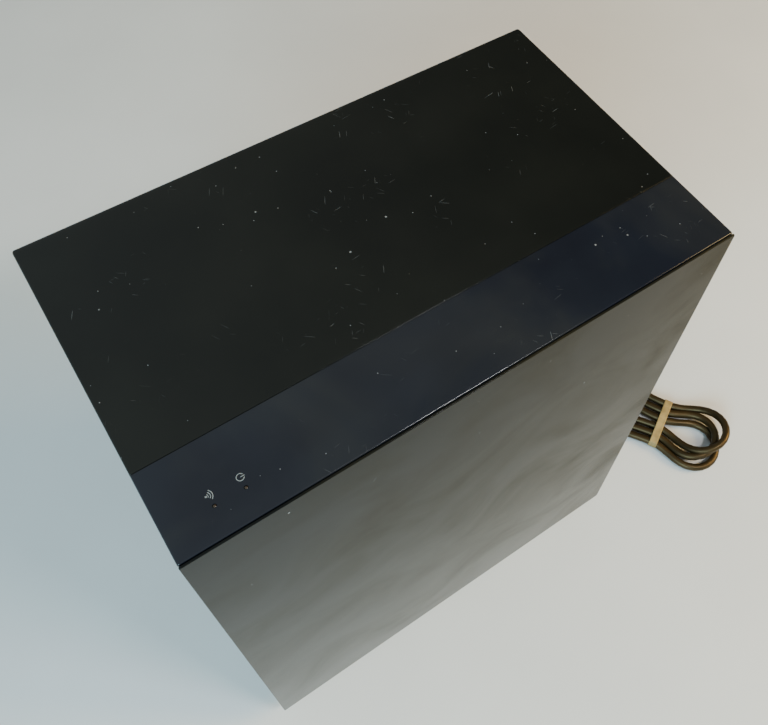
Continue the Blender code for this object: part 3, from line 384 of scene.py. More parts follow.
def make_materials():
    made = {}
    made["vinyl"] = surface(
        "vinyl", (0.0050, 0.0056, 0.0046), (0.0080, 0.0086, 0.0068), 0.14, 0.24, scale=14,
        detail_scale=1400, bump=0.05, specular=0.42, dust=0.8, marks=0.5,
    )
    made["gloss"] = surface(
        "gloss", (0.0058, 0.0070, 0.0120), (0.0090, 0.0110, 0.0175), 0.08, 0.18, scale=18,
        detail_scale=120, bump=0.012, specular=0.60, dust=0.7, marks=0.4, haze=0.5,
        smear_and_painted_reflection_colour=(0.030, 0.030, 0.027),
    )
    # The front panel's olive-brown, duller right side is a painted reflection of warm
    # surroundings; its smear pattern is smudging.
    made["panel"] = surface(
        "panel", (0.003, 0.0038, 0.0041), (0.006, 0.0068, 0.0065), 0.05, 0.12, scale=11,
        detail_scale=60, bump=0.012, specular=0.09, dust=0.4, marks=0.35, haze=0.55,
        smear_and_painted_reflection_colour=(0.022, 0.018, 0.009), painted_reflection_to_right=0.45, upright=True,
    )
    made["board"] = surface(
        "board", (0.30, 0.19, 0.10), (0.22, 0.14, 0.075), 0.8, 0.95, scale=260,
        detail_scale=1500, bump=0.25,
    )
    made["painted_board"] = surface(
        "painted_board", (0.012, 0.012, 0.012), (0.022, 0.022, 0.021), 0.6, 0.8, scale=60,
        detail_scale=900, bump=0.5, pattern="cells", dust=0.5,
    )
    made["foam"] = surface(
        "foam", (0.015, 0.015, 0.015), (0.03, 0.03, 0.03), 0.9, 1.0, detail_scale=2600,
        bump=0.8, pattern="cells",
    )
    made["plastic"] = surface(
        "plastic", (0.018, 0.018, 0.018), (0.026, 0.026, 0.025), 0.45, 0.6, detail_scale=2200,
        bump=0.18, dust=0.4,
    )
    made["felt"] = surface(
        "felt", (0.70, 0.70, 0.68), (0.58, 0.58, 0.56), 0.95, 1.0, scale=90, detail_scale=1200,
        bump=0.7, bump_depth=0.001,
    )
    made["rubber"] = surface(
        "rubber", (0.012, 0.012, 0.012), (0.022, 0.021, 0.020), 0.6, 0.8, detail_scale=1600,
        bump=0.2, dust=0.5,
    )
    made["lens"] = surface(
        "lens", (0.030, 0.021, 0.014), (0.055, 0.039, 0.026), 0.1, 0.25, scale=800,
        detail_scale=1500, bump=0.05,
    )
    made["pcb"] = surface(
        "pcb", (0.015, 0.12, 0.05), (0.03, 0.20, 0.08), 0.3, 0.45, scale=320, detail_scale=700,
        bump=0.2, pattern="X", stretch=(1, 0.2, 1),
    )
    made["led"] = surface(
        "led", (0.85, 0.83, 0.70), (0.70, 0.68, 0.50), 0.25, 0.4, scale=900, bump=0.05,
    )
    made["steel"] = surface(
        "steel", (0.52, 0.52, 0.53), (0.62, 0.62, 0.60), 0.25, 0.42, metallic=1.0, scale=150,
        detail_scale=2400, bump=0.08, stretch=(1, 1, 0.05),
    )
    made["plate"] = surface(
        "plate", (0.016, 0.016, 0.017), (0.024, 0.024, 0.025), 0.38, 0.5, detail_scale=1500,
        bump=0.35, pattern="cells", dust=0.4,
    )
    made["ferrite"] = surface(
        "ferrite", (0.05, 0.05, 0.055), (0.08, 0.08, 0.085), 0.55, 0.8, scale=220,
        detail_scale=1800, bump=0.3,
    )
    made["paper"] = surface(
        "paper", (0.020, 0.020, 0.021), (0.038, 0.037, 0.036), 0.75, 0.95, scale=420,
        detail_scale=1300, bump=0.6, stretch=(1, 0.4, 1),
    )
    made["cloth"] = surface(
        "cloth", (0.45, 0.26, 0.09), (0.33, 0.18, 0.06), 0.8, 0.95, scale=200, detail_scale=500,
        bump=0.7, pattern="DIAGONAL",
    )
    made["copper"] = surface(
        "copper", (0.72, 0.34, 0.17), (0.60, 0.27, 0.12), 0.22, 0.36, metallic=1.0, scale=300,
        detail_scale=900, bump=0.6, pattern="Y",
    )
    made["aluminium"] = surface(
        "aluminium", (0.60, 0.60, 0.61), (0.70, 0.70, 0.70), 0.28, 0.42, metallic=1.0,
        scale=120, detail_scale=1800, bump=0.15, stretch=(1, 1, 0.03),
    )
    made["winding"] = surface(
        "winding", (0.72, 0.50, 0.05), (0.60, 0.40, 0.03), 0.35, 0.5, scale=160,
        detail_scale=130, bump=0.35, pattern="Z",
    )
    made["sleeve"] = surface(
        "sleeve", (0.015, 0.015, 0.045), (0.03, 0.03, 0.075), 0.25, 0.4, scale=180,
        detail_scale=900, bump=0.1,
    )
    made["flex"] = surface(
        "flex", (0.010, 0.0075, 0.0035), (0.030, 0.019, 0.007), 0.32, 0.46, scale=55,
        detail_scale=900, bump=0.15, specular=0.7, dust=0.3, dust_colour=(0.22, 0.16, 0.09),
        tint=(0.80, 0.56, 0.30),
    )
    made["paper_tape"] = surface(
        "paper_tape", (0.44, 0.31, 0.12), (0.27, 0.185, 0.065), 0.6, 0.8, scale=150,
        detail_scale=1100, bump=0.6, stretch=(0.25, 1, 1),
    )
    made["brass"] = surface(
        "brass", (0.74, 0.70, 0.58), (0.64, 0.58, 0.44), 0.2, 0.34, metallic=1.0, scale=260,
        detail_scale=2000, bump=0.1,
    )
    made["ink"] = surface(
        "ink", (0.27, 0.285, 0.285), (0.20, 0.215, 0.215), 0.45, 0.6, scale=500, bump=0.1,
    )
    return made


MATERIALS = {}


# ---------------------------------------------------------------- mesh helpers
def add_mesh(
    name,
    bm,
    material,
    body=BODY,
    location=(0, 0, 0),
    rotation=(0, 0, 0),
    sharp=SHARP_ANGLE,
):
    """An object from bm that rides on body; a piece without a body is a cutter or placed later."""
    bmesh.ops.recalc_face_normals(bm, faces=bm.faces)
    mesh = bpy.data.meshes.new(name)
    bm.to_mesh(mesh)
    bm.free()
    smooth(mesh, sharp)
    mesh.materials.append(MATERIALS[material])
    obj = bpy.data.objects.new(name, mesh)
    obj.location = location
    obj.rotation_euler = rotation
    bpy.context.scene.collection.objects.link(obj)
    if body:
        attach(obj, body)
    return obj


def smooth(mesh, sharp=SHARP_ANGLE):
    """Smooth shading, broken at edges that turn by more than sharp degrees."""
    mesh.shade_smooth()
    mesh.set_sharp_from_angle(angle=math.radians(sharp))


def centre_of(low, high):
    return tuple((a + b) / 2 for a, b in zip(low, high))


def bridge(bm, first, second, closed=True):
    """Quads, or triangles at a single point, between two rings of vertices."""
    count = max(len(first), len(second))
    for i in range(count if closed else count - 1):
        corners = [
            first[i % len(first)],
            first[(i + 1) % len(first)],
            second[(i + 1) % len(second)],
            second[i % len(second)],
        ]
        unique = [v for n, v in enumerate(corners) if v not in corners[:n]]
        bm.faces.new(unique)


def lofted(name, rings, material, caps=(True, True), ring=False, **place):
    """Rings of points joined in order."""
    bm = bmesh.new()
    loops = [[bm.verts.new(point) for point in points] for points in rings]
    pairs = list(zip(loops, loops[1:]))
    if ring:
        pairs.append((loops[-1], loops[0]))
    for first, second in pairs:
        bridge(bm, first, second)
    if caps[0] and not ring and len(loops[0]) > 2:
        bm.faces.new(loops[0])
    if caps[1] and not ring and len(loops[-1]) > 2:
        bm.faces.new(loops[-1])
    return add_mesh(name, bm, material, **place)


def turned(name, profile, material, steps=64, ring=False, **place):
    """A profile of (radius, height) turned about local Z."""
    rings = []
    for radius, height in profile:
        if radius <= 1e-9:
            rings.append([(0, 0, height)])
            continue
        angles = [2 * math.pi * i / steps for i in range(steps)]
        rings.append([(radius * math.cos(a), radius * math.sin(a), height) for a in angles])
    return lofted(name, rings, material, caps=(False, False), ring=ring, **place)


def arc(centre, radius, start, end, steps):
    """Points (a, b) along an arc, in degrees."""
    points = []
    for i in range(steps + 1):
        angle = math.radians(start + (end - start) * i / steps)
        points.append((centre[0] + radius * math.cos(angle), centre[1] + radius * math.sin(angle)))
    return points


def quarter_round(radius, steps, first=0):
    """Points (a, b) of a quarter circle about zero, from its first step on."""
    angles = [math.pi / 2 * i / steps for i in range(first, steps + 1)]
    return [(radius * math.cos(angle), radius * math.sin(angle)) for angle in angles]


def rounded_outline(low, high, radius, steps):
    """Points (a, b) round a rectangle between two corners, its own corners rounded."""
    points = []
    for a, b, start in (
        (high[0] - radius, high[1] - radius, 0),
        (low[0] + radius, high[1] - radius, 90),
        (low[0] + radius, low[1] + radius, 180),
        (high[0] - radius, low[1] + radius, 270),
    ):
        points += arc((a, b), radius, start, start + 90, steps)
    return points


def box_outline(inset, y):
    """The enclosure's outline at one y, moved in by inset, with round corners."""
    radius = max(EDGE_RADIUS - inset, SMALLEST_RADIUS)
    half = HALF_WIDTH - inset
    flat = rounded_outline((-half, BASE_Z + inset), (half, TOP_Z - inset), radius, 8)
    return [(CENTRE_X + a, y, b) for a, b in flat]


def carve(obj, cutter):
    """Cuts a second shape out of obj, applied."""
    modifier = obj.modifiers.new("Carve", "BOOLEAN")
    modifier.object = cutter
    modifier.operation = "DIFFERENCE"
    depsgraph = bpy.context.evaluated_depsgraph_get()
    mesh = bpy.data.meshes.new_from_object(obj.evaluated_get(depsgraph))
    obj.modifiers.clear()
    obj.data = mesh
    bpy.data.objects.remove(cutter)


def cut_away(obj, low, high):
    bm = bmesh.new()
    bmesh.ops.create_cube(bm, size=1)
    bmesh.ops.scale(bm, vec=Vector(high) - Vector(low), verts=bm.verts)
    bmesh.ops.translate(bm, vec=(Vector(high) + Vector(low)) / 2, verts=bm.verts)
    carve(obj, add_mesh("cutter", bm, "plastic", body=None))


def cut_round(obj, centre, radius, length, rotation=(0, 0, 0), steps=48):
    half = length / 2
    profile = [(0, -half), (radius, -half), (radius, half), (0, half)]
    cutter = turned(
        "cutter", profile, "plastic", steps=steps, body=None, location=centre, rotation=rotation
    )
    carve(obj, cutter)


# ---------------------------------------------------------------- mains lead
def smooth_path(points, spacing):
    """Points a set distance apart on a Catmull-Rom curve through the given points."""
    knots = [Vector(p) for p in points]
    knots = [2 * knots[0] - knots[1], *knots, 2 * knots[-1] - knots[-2]]
    fine = []
    parts = 24
    for a, b, c, d in zip(knots, knots[1:], knots[2:], knots[3:]):
        for i in range(parts):
            t = i / parts
            fine.append(
                0.5
                * (
                    2 * b
                    + (c - a) * t
                    + (2 * a - 5 * b + 4 * c - d) * t**2
                    + (3 * b - a - 3 * c + d) * t**3
                )
            )
    fine.append(knots[-2])
    return even_points(fine, spacing)


def even_points(fine, spacing):
    """The same line with its points a set distance apart."""
    total = sum((q - p).length for p, q in zip(fine, fine[1:]))
    count = max(2, round(total / spacing))
    path = [fine[0]]
    walked = 0.0
    for p, q in zip(fine, fine[1:]):
        step = (q - p).length
        while len(path) < count and walked + step >= len(path) * total / count:
            path.append(p.lerp(q, (len(path) * total / count - walked) / step))
        walked += step
    path.append(fine[-1])
    return path


def softened(points, passes):
    """The line with its corners eased; its ends stay."""
    for _ in range(passes):
        inner = [(a + 2 * b + c) / 4 for a, b, c in zip(points, points[1:], points[2:])]
        points = [points[0], *inner, points[-1]]
    return points


def hank_point(along, side, height):
    c, s = math.cos(HANK_ANGLE), math.sin(HANK_ANGLE)
    return Vector(
        (HANK_CENTRE[0] + along * c - side * s, HANK_CENTRE[1] + along * s + side * c, height)
    )


def ease(t):
    return 0.5 - 0.5 * math.cos(math.pi * t)


def hank_run(sides, front_end, rises, end_height=None):
    """Points from rear fold to front fold: three sides (rear, waist, front) and two rises."""
    rear_side, waist_side, front_side = sides
    points = []
    steps = 60
    for i in range(steps + 1):
        along = HANK_REAR + (front_end - HANK_REAR) * i / steps
        if along < 0:
            side = rear_side + (waist_side - rear_side) * ease(1 - along / HANK_REAR)
        else:
            side = waist_side + (front_side - waist_side) * ease(along / front_end)
        height = FLOOR_LINE + WAIST_LIFT * math.exp(-((along / WAIST_LIFT_REACH) ** 2))
        for distance, rise in zip((along - HANK_REAR, front_end - along), rises):
            height += rise * fold_lift(distance + math.pi * FOLD_RADIUS / 2)
        if end_height is not None and along - HANK_REAR < TAIL_RISE:
            height += (end_height - FLOOR_LINE) * ease(1 - (along - HANK_REAR) / TAIL_RISE)
        points.append(hank_point(along, side, height))
    return points


def fold_lift(distance):
    """1 at a fold's tip, easing to 0 a little way down its runs."""
    span = math.pi * FOLD_RADIUS / 2 + FOLD_REACH
    return 0.5 + 0.5 * math.cos(math.pi * distance / span) if distance < span else 0.0


def hank_fold(centre, end, radius, rise):
    """A half turn: left to right past a positive end, right to left past a negative one."""
    points = []
    steps = 24
    sign = math.copysign(1, end)
    for i in range(1, steps):
        angle = math.pi * i / steps
        side = centre - sign * radius * math.cos(angle)
        along = end + sign * radius * math.sin(angle)
        distance = abs(angle - math.pi / 2) * radius
        points.append(hank_point(along, side, FLOOR_LINE + rise * fold_lift(distance)))
    return points


def hank_path():
    """Three loops: forwards on the left, round the front fold and back on the right."""
    pitch = STRAND_PITCH
    points = []
    for loop in range(RUNS_PER_SIDE):
        front_end = FRONT_ENDS[loop]
        front_centre = FRONT_PITCH * (loop - 1)
        front_rise = loop * pitch
        left = (
            -FOLD_RADIUS - pitch / 2 + pitch * (loop - 1),
            -WAIST_OUTER + WAIST_PITCH * loop,
            front_centre - FRONT_FOLD_RADIUS,
        )
        points += hank_run(left, front_end, (max(loop - 1, 0) * pitch, front_rise))
        points += hank_fold(front_centre, front_end, FRONT_FOLD_RADIUS, front_rise)
        last = loop == RUNS_PER_SIDE - 1
        right = (
            PLUG_SIDE if last else FOLD_RADIUS - pitch / 2 + pitch * loop,
            WAIST_OUTER - WAIST_PITCH * (RUNS_PER_SIDE - 1 - loop),
            front_centre + FRONT_FOLD_RADIUS,
        )
        rises = (0 if last else loop * pitch, front_rise)
        points += hank_run(right, front_end, rises, PLUG_Z if last else None)[::-1]
        if not last:
            points += hank_fold(pitch * (loop - 0.5), HANK_REAR, FOLD_RADIUS, loop * pitch)
    return points


def make_cord():
    start_side = -(FOLD_RADIUS + 1.5 * STRAND_PITCH)
    floor = FLOOR_LINE
    route = (
        (LEAD_X, RELIEF_END_Y - 2 * MM, LEAD_Z),
        (LEAD_X, RELIEF_END_Y + 14 * MM, LEAD_Z - 1 * MM),
        (LEAD_X + 3 * MM, RELIEF_END_Y + 31 * MM, LEAD_Z - 11 * MM),
        (LEAD_X + 9 * MM, RELIEF_END_Y + 43 * MM, LEAD_Z - 28 * MM),
        (LEAD_X + 21 * MM, RELIEF_END_Y + 48 * MM, LEAD_Z - 41 * MM),
        (LEAD_X + 38 * MM, RELIEF_END_Y + 46 * MM, floor),
        (LEAD_X + 60 * MM, RELIEF_END_Y + 39 * MM, floor),
        (LEAD_X + 84 * MM, RELIEF_END_Y + 22 * MM, floor),
        (LEAD_X + 101 * MM, RELIEF_END_Y - 4 * MM, floor),
        (LEAD_X + 107 * MM, RELIEF_END_Y - 34 * MM, floor),
        (LEAD_X + 105.5 * MM, RELIEF_END_Y - 62 * MM, floor),
        (LEAD_X + 104.5 * MM, RELIEF_END_Y - 84 * MM, floor),
        hank_point(HANK_REAR - 12 * MM, start_side, floor),
        hank_point(HANK_REAR, start_side, floor),
    )
    lead = [Vector((p.x, p.y, max(p.z, floor))) for p in smooth_path(route, 3 * MM)]
    tail = hank_point(HANK_REAR - 3 * MM, PLUG_SIDE, PLUG_Z)
    step = 2.5 * MM  # fine enough to ease the folds; the curve then takes fewer points
    fine = softened(even_points(lead[:-1] + hank_path() + [tail], step), 6)
    loose = round(sum((q - p).length for p, q in zip(lead, lead[1:])) / step)
    path = even_points(fine[: loose + 1], 9 * MM) + even_points(fine[loose:], 6 * MM)[1:]
    curve = bpy.data.curves.new("mains_cord", "CURVE")
    curve.dimensions = "3D"
    curve.bevel_depth = CORD_RADIUS
    curve.bevel_resolution = 5
    curve.use_fill_caps = True
    spline = curve.splines.new("NURBS")
    spline.order_u = 4
    spline.use_endpoint_u = True
    spline.resolution_u = 3
    spline.points.add(len(path) - 1)
    for target, point in zip(spline.points, path):
        target.co = (*point, 1)
    spline.use_smooth = True
    curve.materials.append(MATERIALS["flex"])
    cord = bpy.data.objects.new("mains_cord", curve)
    bpy.context.scene.collection.objects.link(cord)
    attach(cord, BODY)
    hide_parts("cord_lead", "cord_hank")
    return cord


def make_tape():
    """A band of paper tape wound round the waist, with its end lapped over."""
    low, high = 0.25 * MM, 8.15 * MM
    half = WAIST_OUTER + CORD_RADIUS + 0.45 * MM
    outline = rounded_outline((-half, low), (half, high), 3.6 * MM, 8)
    outline += outline[:14]
    bm = bmesh.new()
    columns = 8
    rows = []
    lapped = 16
    first_lapped = len(outline) - lapped
    for i, (y, z) in enumerate(outline):
        lap = 1.1 * TAPE_THICKNESS * max(0, i - first_lapped) / lapped
        y_out, z_out = y * (1 + lap / half), z + lap
        row = []
        for j in range(columns + 1):
            across = -TAPE_HALF_WIDTH + 2 * TAPE_HALF_WIDTH * j / columns
            crinkle = 0.10 * MM * math.sin(i * 2.1 + j * 1.3) * math.sin(j * math.pi / columns)
            sag = 0.25 * MM * math.cos(6 * math.pi * y / (2 * half)) if z > high - 0.1 * MM else 0
            up = max(z_out + crinkle - abs(sag), low)
            row.append(bm.verts.new((across, y_out, up)))
        rows.append(row)
    for first, second in zip(rows, rows[1:]):
        bridge(bm, first, second, closed=False)
    tape = add_mesh(
        "tape_band",
        bm,
        "paper_tape",
        location=hank_point(0, 0, 0),
        rotation=(0, 0, HANK_ANGLE),
        sharp=60,
    )
    thick = tape.modifiers.new("Thick", "SOLIDIFY")
    thick.thickness = TAPE_THICKNESS
    thick.offset = 0
    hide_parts("cord_tape")
    return tape


def rounded_section(x, half_width, half_height, power=3.0, sides=40):
    """A superellipse across X: power 2 is an ellipse, more is squarer."""
    points = []
    for i in range(sides):
        angle = 2 * math.pi * (i + 0.5) / sides
        c, s = math.cos(angle), math.sin(angle)
        y = half_width * math.copysign(abs(c) ** (2 / power), c)
        z = half_height * math.copysign(abs(s) ** (2 / power), s)
        points.append((x, y, z))
    return points


def make_plug():
    rings = []
    boot_length, ribs = 17 * MM, 5
    for i in range(ribs):
        start = boot_length * i / ribs
        size = 4.2 * MM + 1.3 * MM * i / ribs
        for offset, grow in ((0, 0), (0.35, 0.5), (1.9, 0.5), (2.2, -0.2)):
            rings.append(
                rounded_section(start + offset * MM, size + grow * MM, size + grow * MM, power=2)
            )
    for x, half_width, half_height, power in (
        (18.0, 7.6, 6.6, 2.4),
        (20.5, 9.8, 7.6, 2.6),
        (24.0, 11.8, 8.1, 3.0),
        (28.0, 12.3, 8.25, 3.2),
        (31.0, 12.0, 8.0, 3.2),
        (34.0, 12.3, 8.25, 3.4),
        (39.0, 12.8, 8.4, 3.6),
        (42.5, 12.8, 8.4, 3.6),
        (43.6, 12.3, 8.0, 3.6),
        (44.0, 11.6, 7.4, 3.6),
    ):
        rings.append(rounded_section(x * MM, half_width * MM, half_height * MM, power))
    backward = (0, 0, HANK_ANGLE + math.pi)
    face = hank_point(HANK_REAR - 2 * GAP, PLUG_SIDE, PLUG_Z)
    plug = lofted("plug_moulding", rings, "flex", location=face, rotation=backward)
    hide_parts("plug_body")
    pieces = [plug]
    for name, side in (("left", -6.35 * MM), ("right", 6.35 * MM)):
        rings = []
        for x, half_width, half_height in (
            (-8.5, 0.70, 3.1),
            (5.5, 0.70, 3.1),
            (7.5, 0.60, 2.9),
            (8.3, 0.40, 2.3),
            (8.5, 0.22, 1.9),
        ):
            rings.append(rounded_section(x * MM, half_width * MM, half_height * MM, 6.0, 28))
        along = HANK_REAR - 3 * GAP - 44 * MM - 8.5 * MM
        place = hank_point(along, PLUG_SIDE + side, PLUG_Z)
        pin = lofted(f"plug_blade_{name}", rings, "brass", location=place, rotation=backward)
        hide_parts(f"plug_pin_{name}")
        pieces.append(pin)
    return pieces


def make_strain_relief():
    """A tapered bush with ribs that let the lead bend."""
    start = PLATE_HIGH.y + GAP
    profile = [
        (0, RELIEF_LOW.y),
        (5 * MM, RELIEF_LOW.y),
        (6 * MM, RELIEF_LOW.y + 2 * MM),
        (6 * MM, start),
        (8.0 * MM, start),
        (8.5 * MM, start + 0.5 * MM),
        (8.3 * MM, start + 1.6 * MM),
        (6.4 * MM, start + 2.6 * MM),
    ]
    ribs = 8
    first = start + 4 * MM
    pitch = (RELIEF_END_Y - 1.5 * MM - first) / ribs
    for i in range(ribs):
        radius = 6.2 * MM - 2.0 * MM * i / ribs
        y = first + pitch * i
        profile += [
            (radius - 0.9 * MM, y),
            (radius, y + 0.3 * MM),
            (radius, y + 0.62 * pitch),
            (radius - 0.9 * MM, y + 0.62 * pitch + 0.3 * MM),
        ]
    profile += [(4.1 * MM, RELIEF_END_Y - 0.6 * MM), (3.7 * MM, RELIEF_END_Y), (0, RELIEF_END_Y)]
    turn = (math.radians(-90), 0, 0)
    place = (LEAD_X, 0, LEAD_Z)
    relief = turned("lead_bush", profile, "rubber", steps=48, location=place, rotation=turn)
    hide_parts("strain_relief")
    return relief


# ---------------------------------------------------------------- enclosure
def make_cabinet():
    """The vinyl-wrapped tube: rims eased, inside faces square."""
    wall = 12 * MM
    ease_front, ease_rear = 0.15 * MM, 2.4 * MM
    front, rear = SHELL_LOW.y, SHELL_HIGH.y
    section = [(wall, front), (ease_front, front)]
    section += [
        (ease_front - b, front + ease_front - a)
        for a, b in arc((0, 0), ease_front, 22.5, 90, 3)
    ]
    section += [(0, front + 2 * MM), (0, rear - 2 * ease_rear)]
    section += [
        (ease_rear - a, rear - ease_rear + b) for a, b in arc((0, 0), ease_rear, 0, 90, 5)
    ]
    section += [(wall - 0.6 * MM, rear), (wall, rear - 0.6 * MM)]
    rings = [box_outline(inset, y) for inset, y in section]
    shell = lofted("cabinet_wrap", rings, "vinyl", ring=True)
    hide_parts("cabinet_shell")


def make_cover():
    """The gloss front cover: a tray with eased edges, lamp holes and the sound slot."""
    front, rear = COVER_LOW.y, COVER_HIGH.y
    wall = 3 * MM
    edge = 0.6 * MM
    back_edge = 0.15 * MM
    section = [(wall, front + wall), (wall, rear), (back_edge, rear)]
    section += [
        (back_edge - a, rear - back_edge + b) for a, b in arc((0, 0), back_edge, 90, 0, 4)
    ]
    section += [(0, rear - 2 * MM), (0, front + 2 * edge)]
    section += [(edge - a, front + edge - b) for a, b in arc((0, 0), edge, 0, 90, 6)]
    rings = [box_outline(inset, y) for inset, y in section]
    cover = lofted("front_cover_gloss", rings, "gloss")
    cut_away(
        cover,
        (GRILLE_LOW.x - 0.3 * MM, GRILLE_LOW.y - 0.3 * MM, BASE_Z - 5 * MM),
        (GRILLE_HIGH.x + 0.3 * MM, GRILLE_HIGH.y + 0.3 * MM, BASE_Z + 6 * MM),
    )
    for name in ("power_lens", "link_lens"):
        x, y, _ = centre_of(*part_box(name))
        place = (x, y, TOP_Z)
        cut_round(cover, place, LENS_HOLE_RADIUS, CUT_DEPTH, steps=32)
    smooth(cover.data)
    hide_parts("front_cover")


def make_panel():
    front, rear = PANEL_LOW.y, PANEL_HIGH.y
    edge = 0.4 * MM
    back_edge = 0.3 * MM
    section = [(back_edge, rear), (0, rear - back_edge), (0, front + edge)]
    section += [(edge - a, front + edge - b) for a, b in arc((0, 0), edge, 8, 90, 7)]
    rings = [box_outline(inset, y) for inset, y in section]
    panel = lofted("front_panel_gloss", rings, "panel")
    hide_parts("front_panel")


def flat_strip(name, outer, inner, z, closed):
    """A printed mark: a thin raised strip between two lines of (x, y) points."""
    bm = bmesh.new()
    height = 0.05 * MM
    top_outer = [bm.verts.new((x, y, z + height)) for x, y in outer]
    top_inner = [bm.verts.new((x, y, z + height)) for x, y in inner]
    low_outer = [bm.verts.new((x, y, z - height)) for x, y in outer]
    low_inner = [bm.verts.new((x, y, z - height)) for x, y in inner]
    bridge(bm, top_outer, top_inner, closed)
    bridge(bm, low_inner, low_outer, closed)
    bridge(bm, low_outer, top_outer, closed)
    bridge(bm, top_inner, low_inner, closed)
    if not closed:
        for end in (0, -1):
            bm.faces.new([top_outer[end], top_inner[end], low_inner[end], low_outer[end]])
    return add_mesh(name, bm, "ink")


def make_marks():
    """A standby mark and a radio-link mark printed behind the lamps, their tops towards +X."""
    x, y, _ = centre_of(*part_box("power_lens"))
    y += MARK_OFFSET
    ring = 1.55 * MM
    half = 0.17 * MM
    flat_strip(
        "standby_ring",
        arc((x, y), ring + half, 24, 336, 40),
        arc((x, y), ring - half, 24, 336, 40),
        TOP_Z,
        False,
    )
    flat_strip(
        "standby_bar",
        [(x + 0.1 * MM, y - half), (x + 1.9 * MM, y - half)],
        [(x + 0.1 * MM, y + half), (x + 1.9 * MM, y + half)],
        TOP_Z,
        False,
    )
    x, y, _ = centre_of(*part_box("link_lens"))
    x -= 1.2 * MM
    y += MARK_OFFSET
    for number, radius in enumerate((0.95 * MM, 1.85 * MM, 2.75 * MM)):
        flat_strip(
            f"link_arc_{number}",
            arc((x, y), radius + half, -48, 48, 18),
            arc((x, y), radius - half, -48, 48, 18),
            TOP_Z,
            False,
        )
    flat_strip(
        "link_dot",
        arc((x, y), 0.42 * MM, 0, 360, 20)[:-1],
        arc((x, y), 0.05 * MM, 0, 360, 20)[:-1],
        TOP_Z,
        True,
    )


def make_lenses():
    for name in ("power", "link"):
        low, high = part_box(f"{name}_lens")
        x, y, _ = centre_of(low, high)
        profile = [(0, low.z - TOP_Z), (LENS_RADIUS, low.z - TOP_Z)]
        for across, up in quarter_round(1, 6)[:-1]:
            profile.append((LENS_RADIUS * across, -LENS_RISE + LENS_RISE * up))
        profile.append((0, 0))
        lens = turned(
            f"{name}_light_pipe",
            profile,
            "lens",
            steps=32,
            location=(x, y, TOP_Z),
        )
        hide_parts(f"{name}_lens")


def make_feet():
    for name in ("foot_front_left", "foot_front_right", "foot_rear_left", "foot_rear_right"):
        low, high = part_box(name)
        x, y, _ = centre_of(low, high)
        radius = (high.x - low.x) / 2
        height = high.z - low.z
        profile = [(0, 1.4 * MM), (3.4 * MM, 1.4 * MM), (3.6 * MM, 0.2 * MM)]
        profile += [(4.2 * MM, 0.02 * MM), (radius - 1.6 * MM, 0)]
        profile += arc((radius - 1.4 * MM, 1.4 * MM), 1.4 * MM, -80, 5, 6)
        profile += [(radius - 0.8 * MM, 0.55 * height), (radius - 1.4 * MM, 0.6 * height)]
        profile += [(radius - 1.5 * MM, height - 0.5 * MM), (radius - 2.0 * MM, height)]
        profile += [(0, height)]
        foot = turned(
            f"{name}_rubber",
            profile,
            "rubber",
            steps=48,
            location=(x, y, low.z),
        )
        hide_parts(name)


def make_grille():
    """A thin frame with rounded bars across the sound slot."""
    low, high = GRILLE_LOW, GRILLE_HIGH
    bars = 13
    pitch = (high.x - low.x) / bars
    border = 3 * MM
    bm = bmesh.new()
    bmesh.ops.create_cube(bm, size=1)
    bmesh.ops.scale(bm, vec=high - low, verts=bm.verts)
    bmesh.ops.translate(bm, vec=(high + low) / 2, verts=bm.verts)
    grille = add_mesh("slot_grille_bars", bm, "plastic")
    for i in range(bars):
        x = low.x + pitch * (i + 0.5)
        cut_away(
            grille,
            (x - 0.36 * pitch, low.y + border, low.z - 5 * MM),
            (x + 0.36 * pitch, high.y - border, high.z + 5 * MM),
        )
    eased = grille.modifiers.new("Eased", "BEVEL")
    eased.width = 0.35 * MM
    eased.segments = 2
    eased.limit_method = "ANGLE"
    smooth(grille.data, 60)
    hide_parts("slot_grille")


# ---------------------------------------------------------------- rear
def make_port():
    bore = 23 * MM
    outside = 25 * MM
    flange = (PORT_HIGH.x - PORT_LOW.x) / 2
    mouth, inner = PORT_HIGH.y, PORT_LOW.y
    flare = 4 * MM
    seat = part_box("rear_board")[1].y + GAP
    profile = [(bore + 1.2 * MM, inner), (bore, inner + 4 * MM), (bore, mouth - flare - 6 * MM)]
    profile += [(bore + flare - a, mouth - flare + b) for a, b in quarter_round(flare, 10)]
    profile += [(flange - 1.6 * MM, mouth - 0.2 * MM)]
    profile += arc((flange - 1.4 * MM, mouth - 1.6 * MM), 1.4 * MM, 80, 0, 6)
    profile += [(flange, seat), (outside, seat), (outside, inner)]
    port = turned(
        "port_flare",
        [(radius, -y) for radius, y in profile],
        "plastic",
        steps=96,
        ring=True,
        location=(CENTRE_X, 0, (PORT_LOW.z + PORT_HIGH.z) / 2),
        rotation=(math.radians(90), 0, 0),
    )
    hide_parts("port_tube")


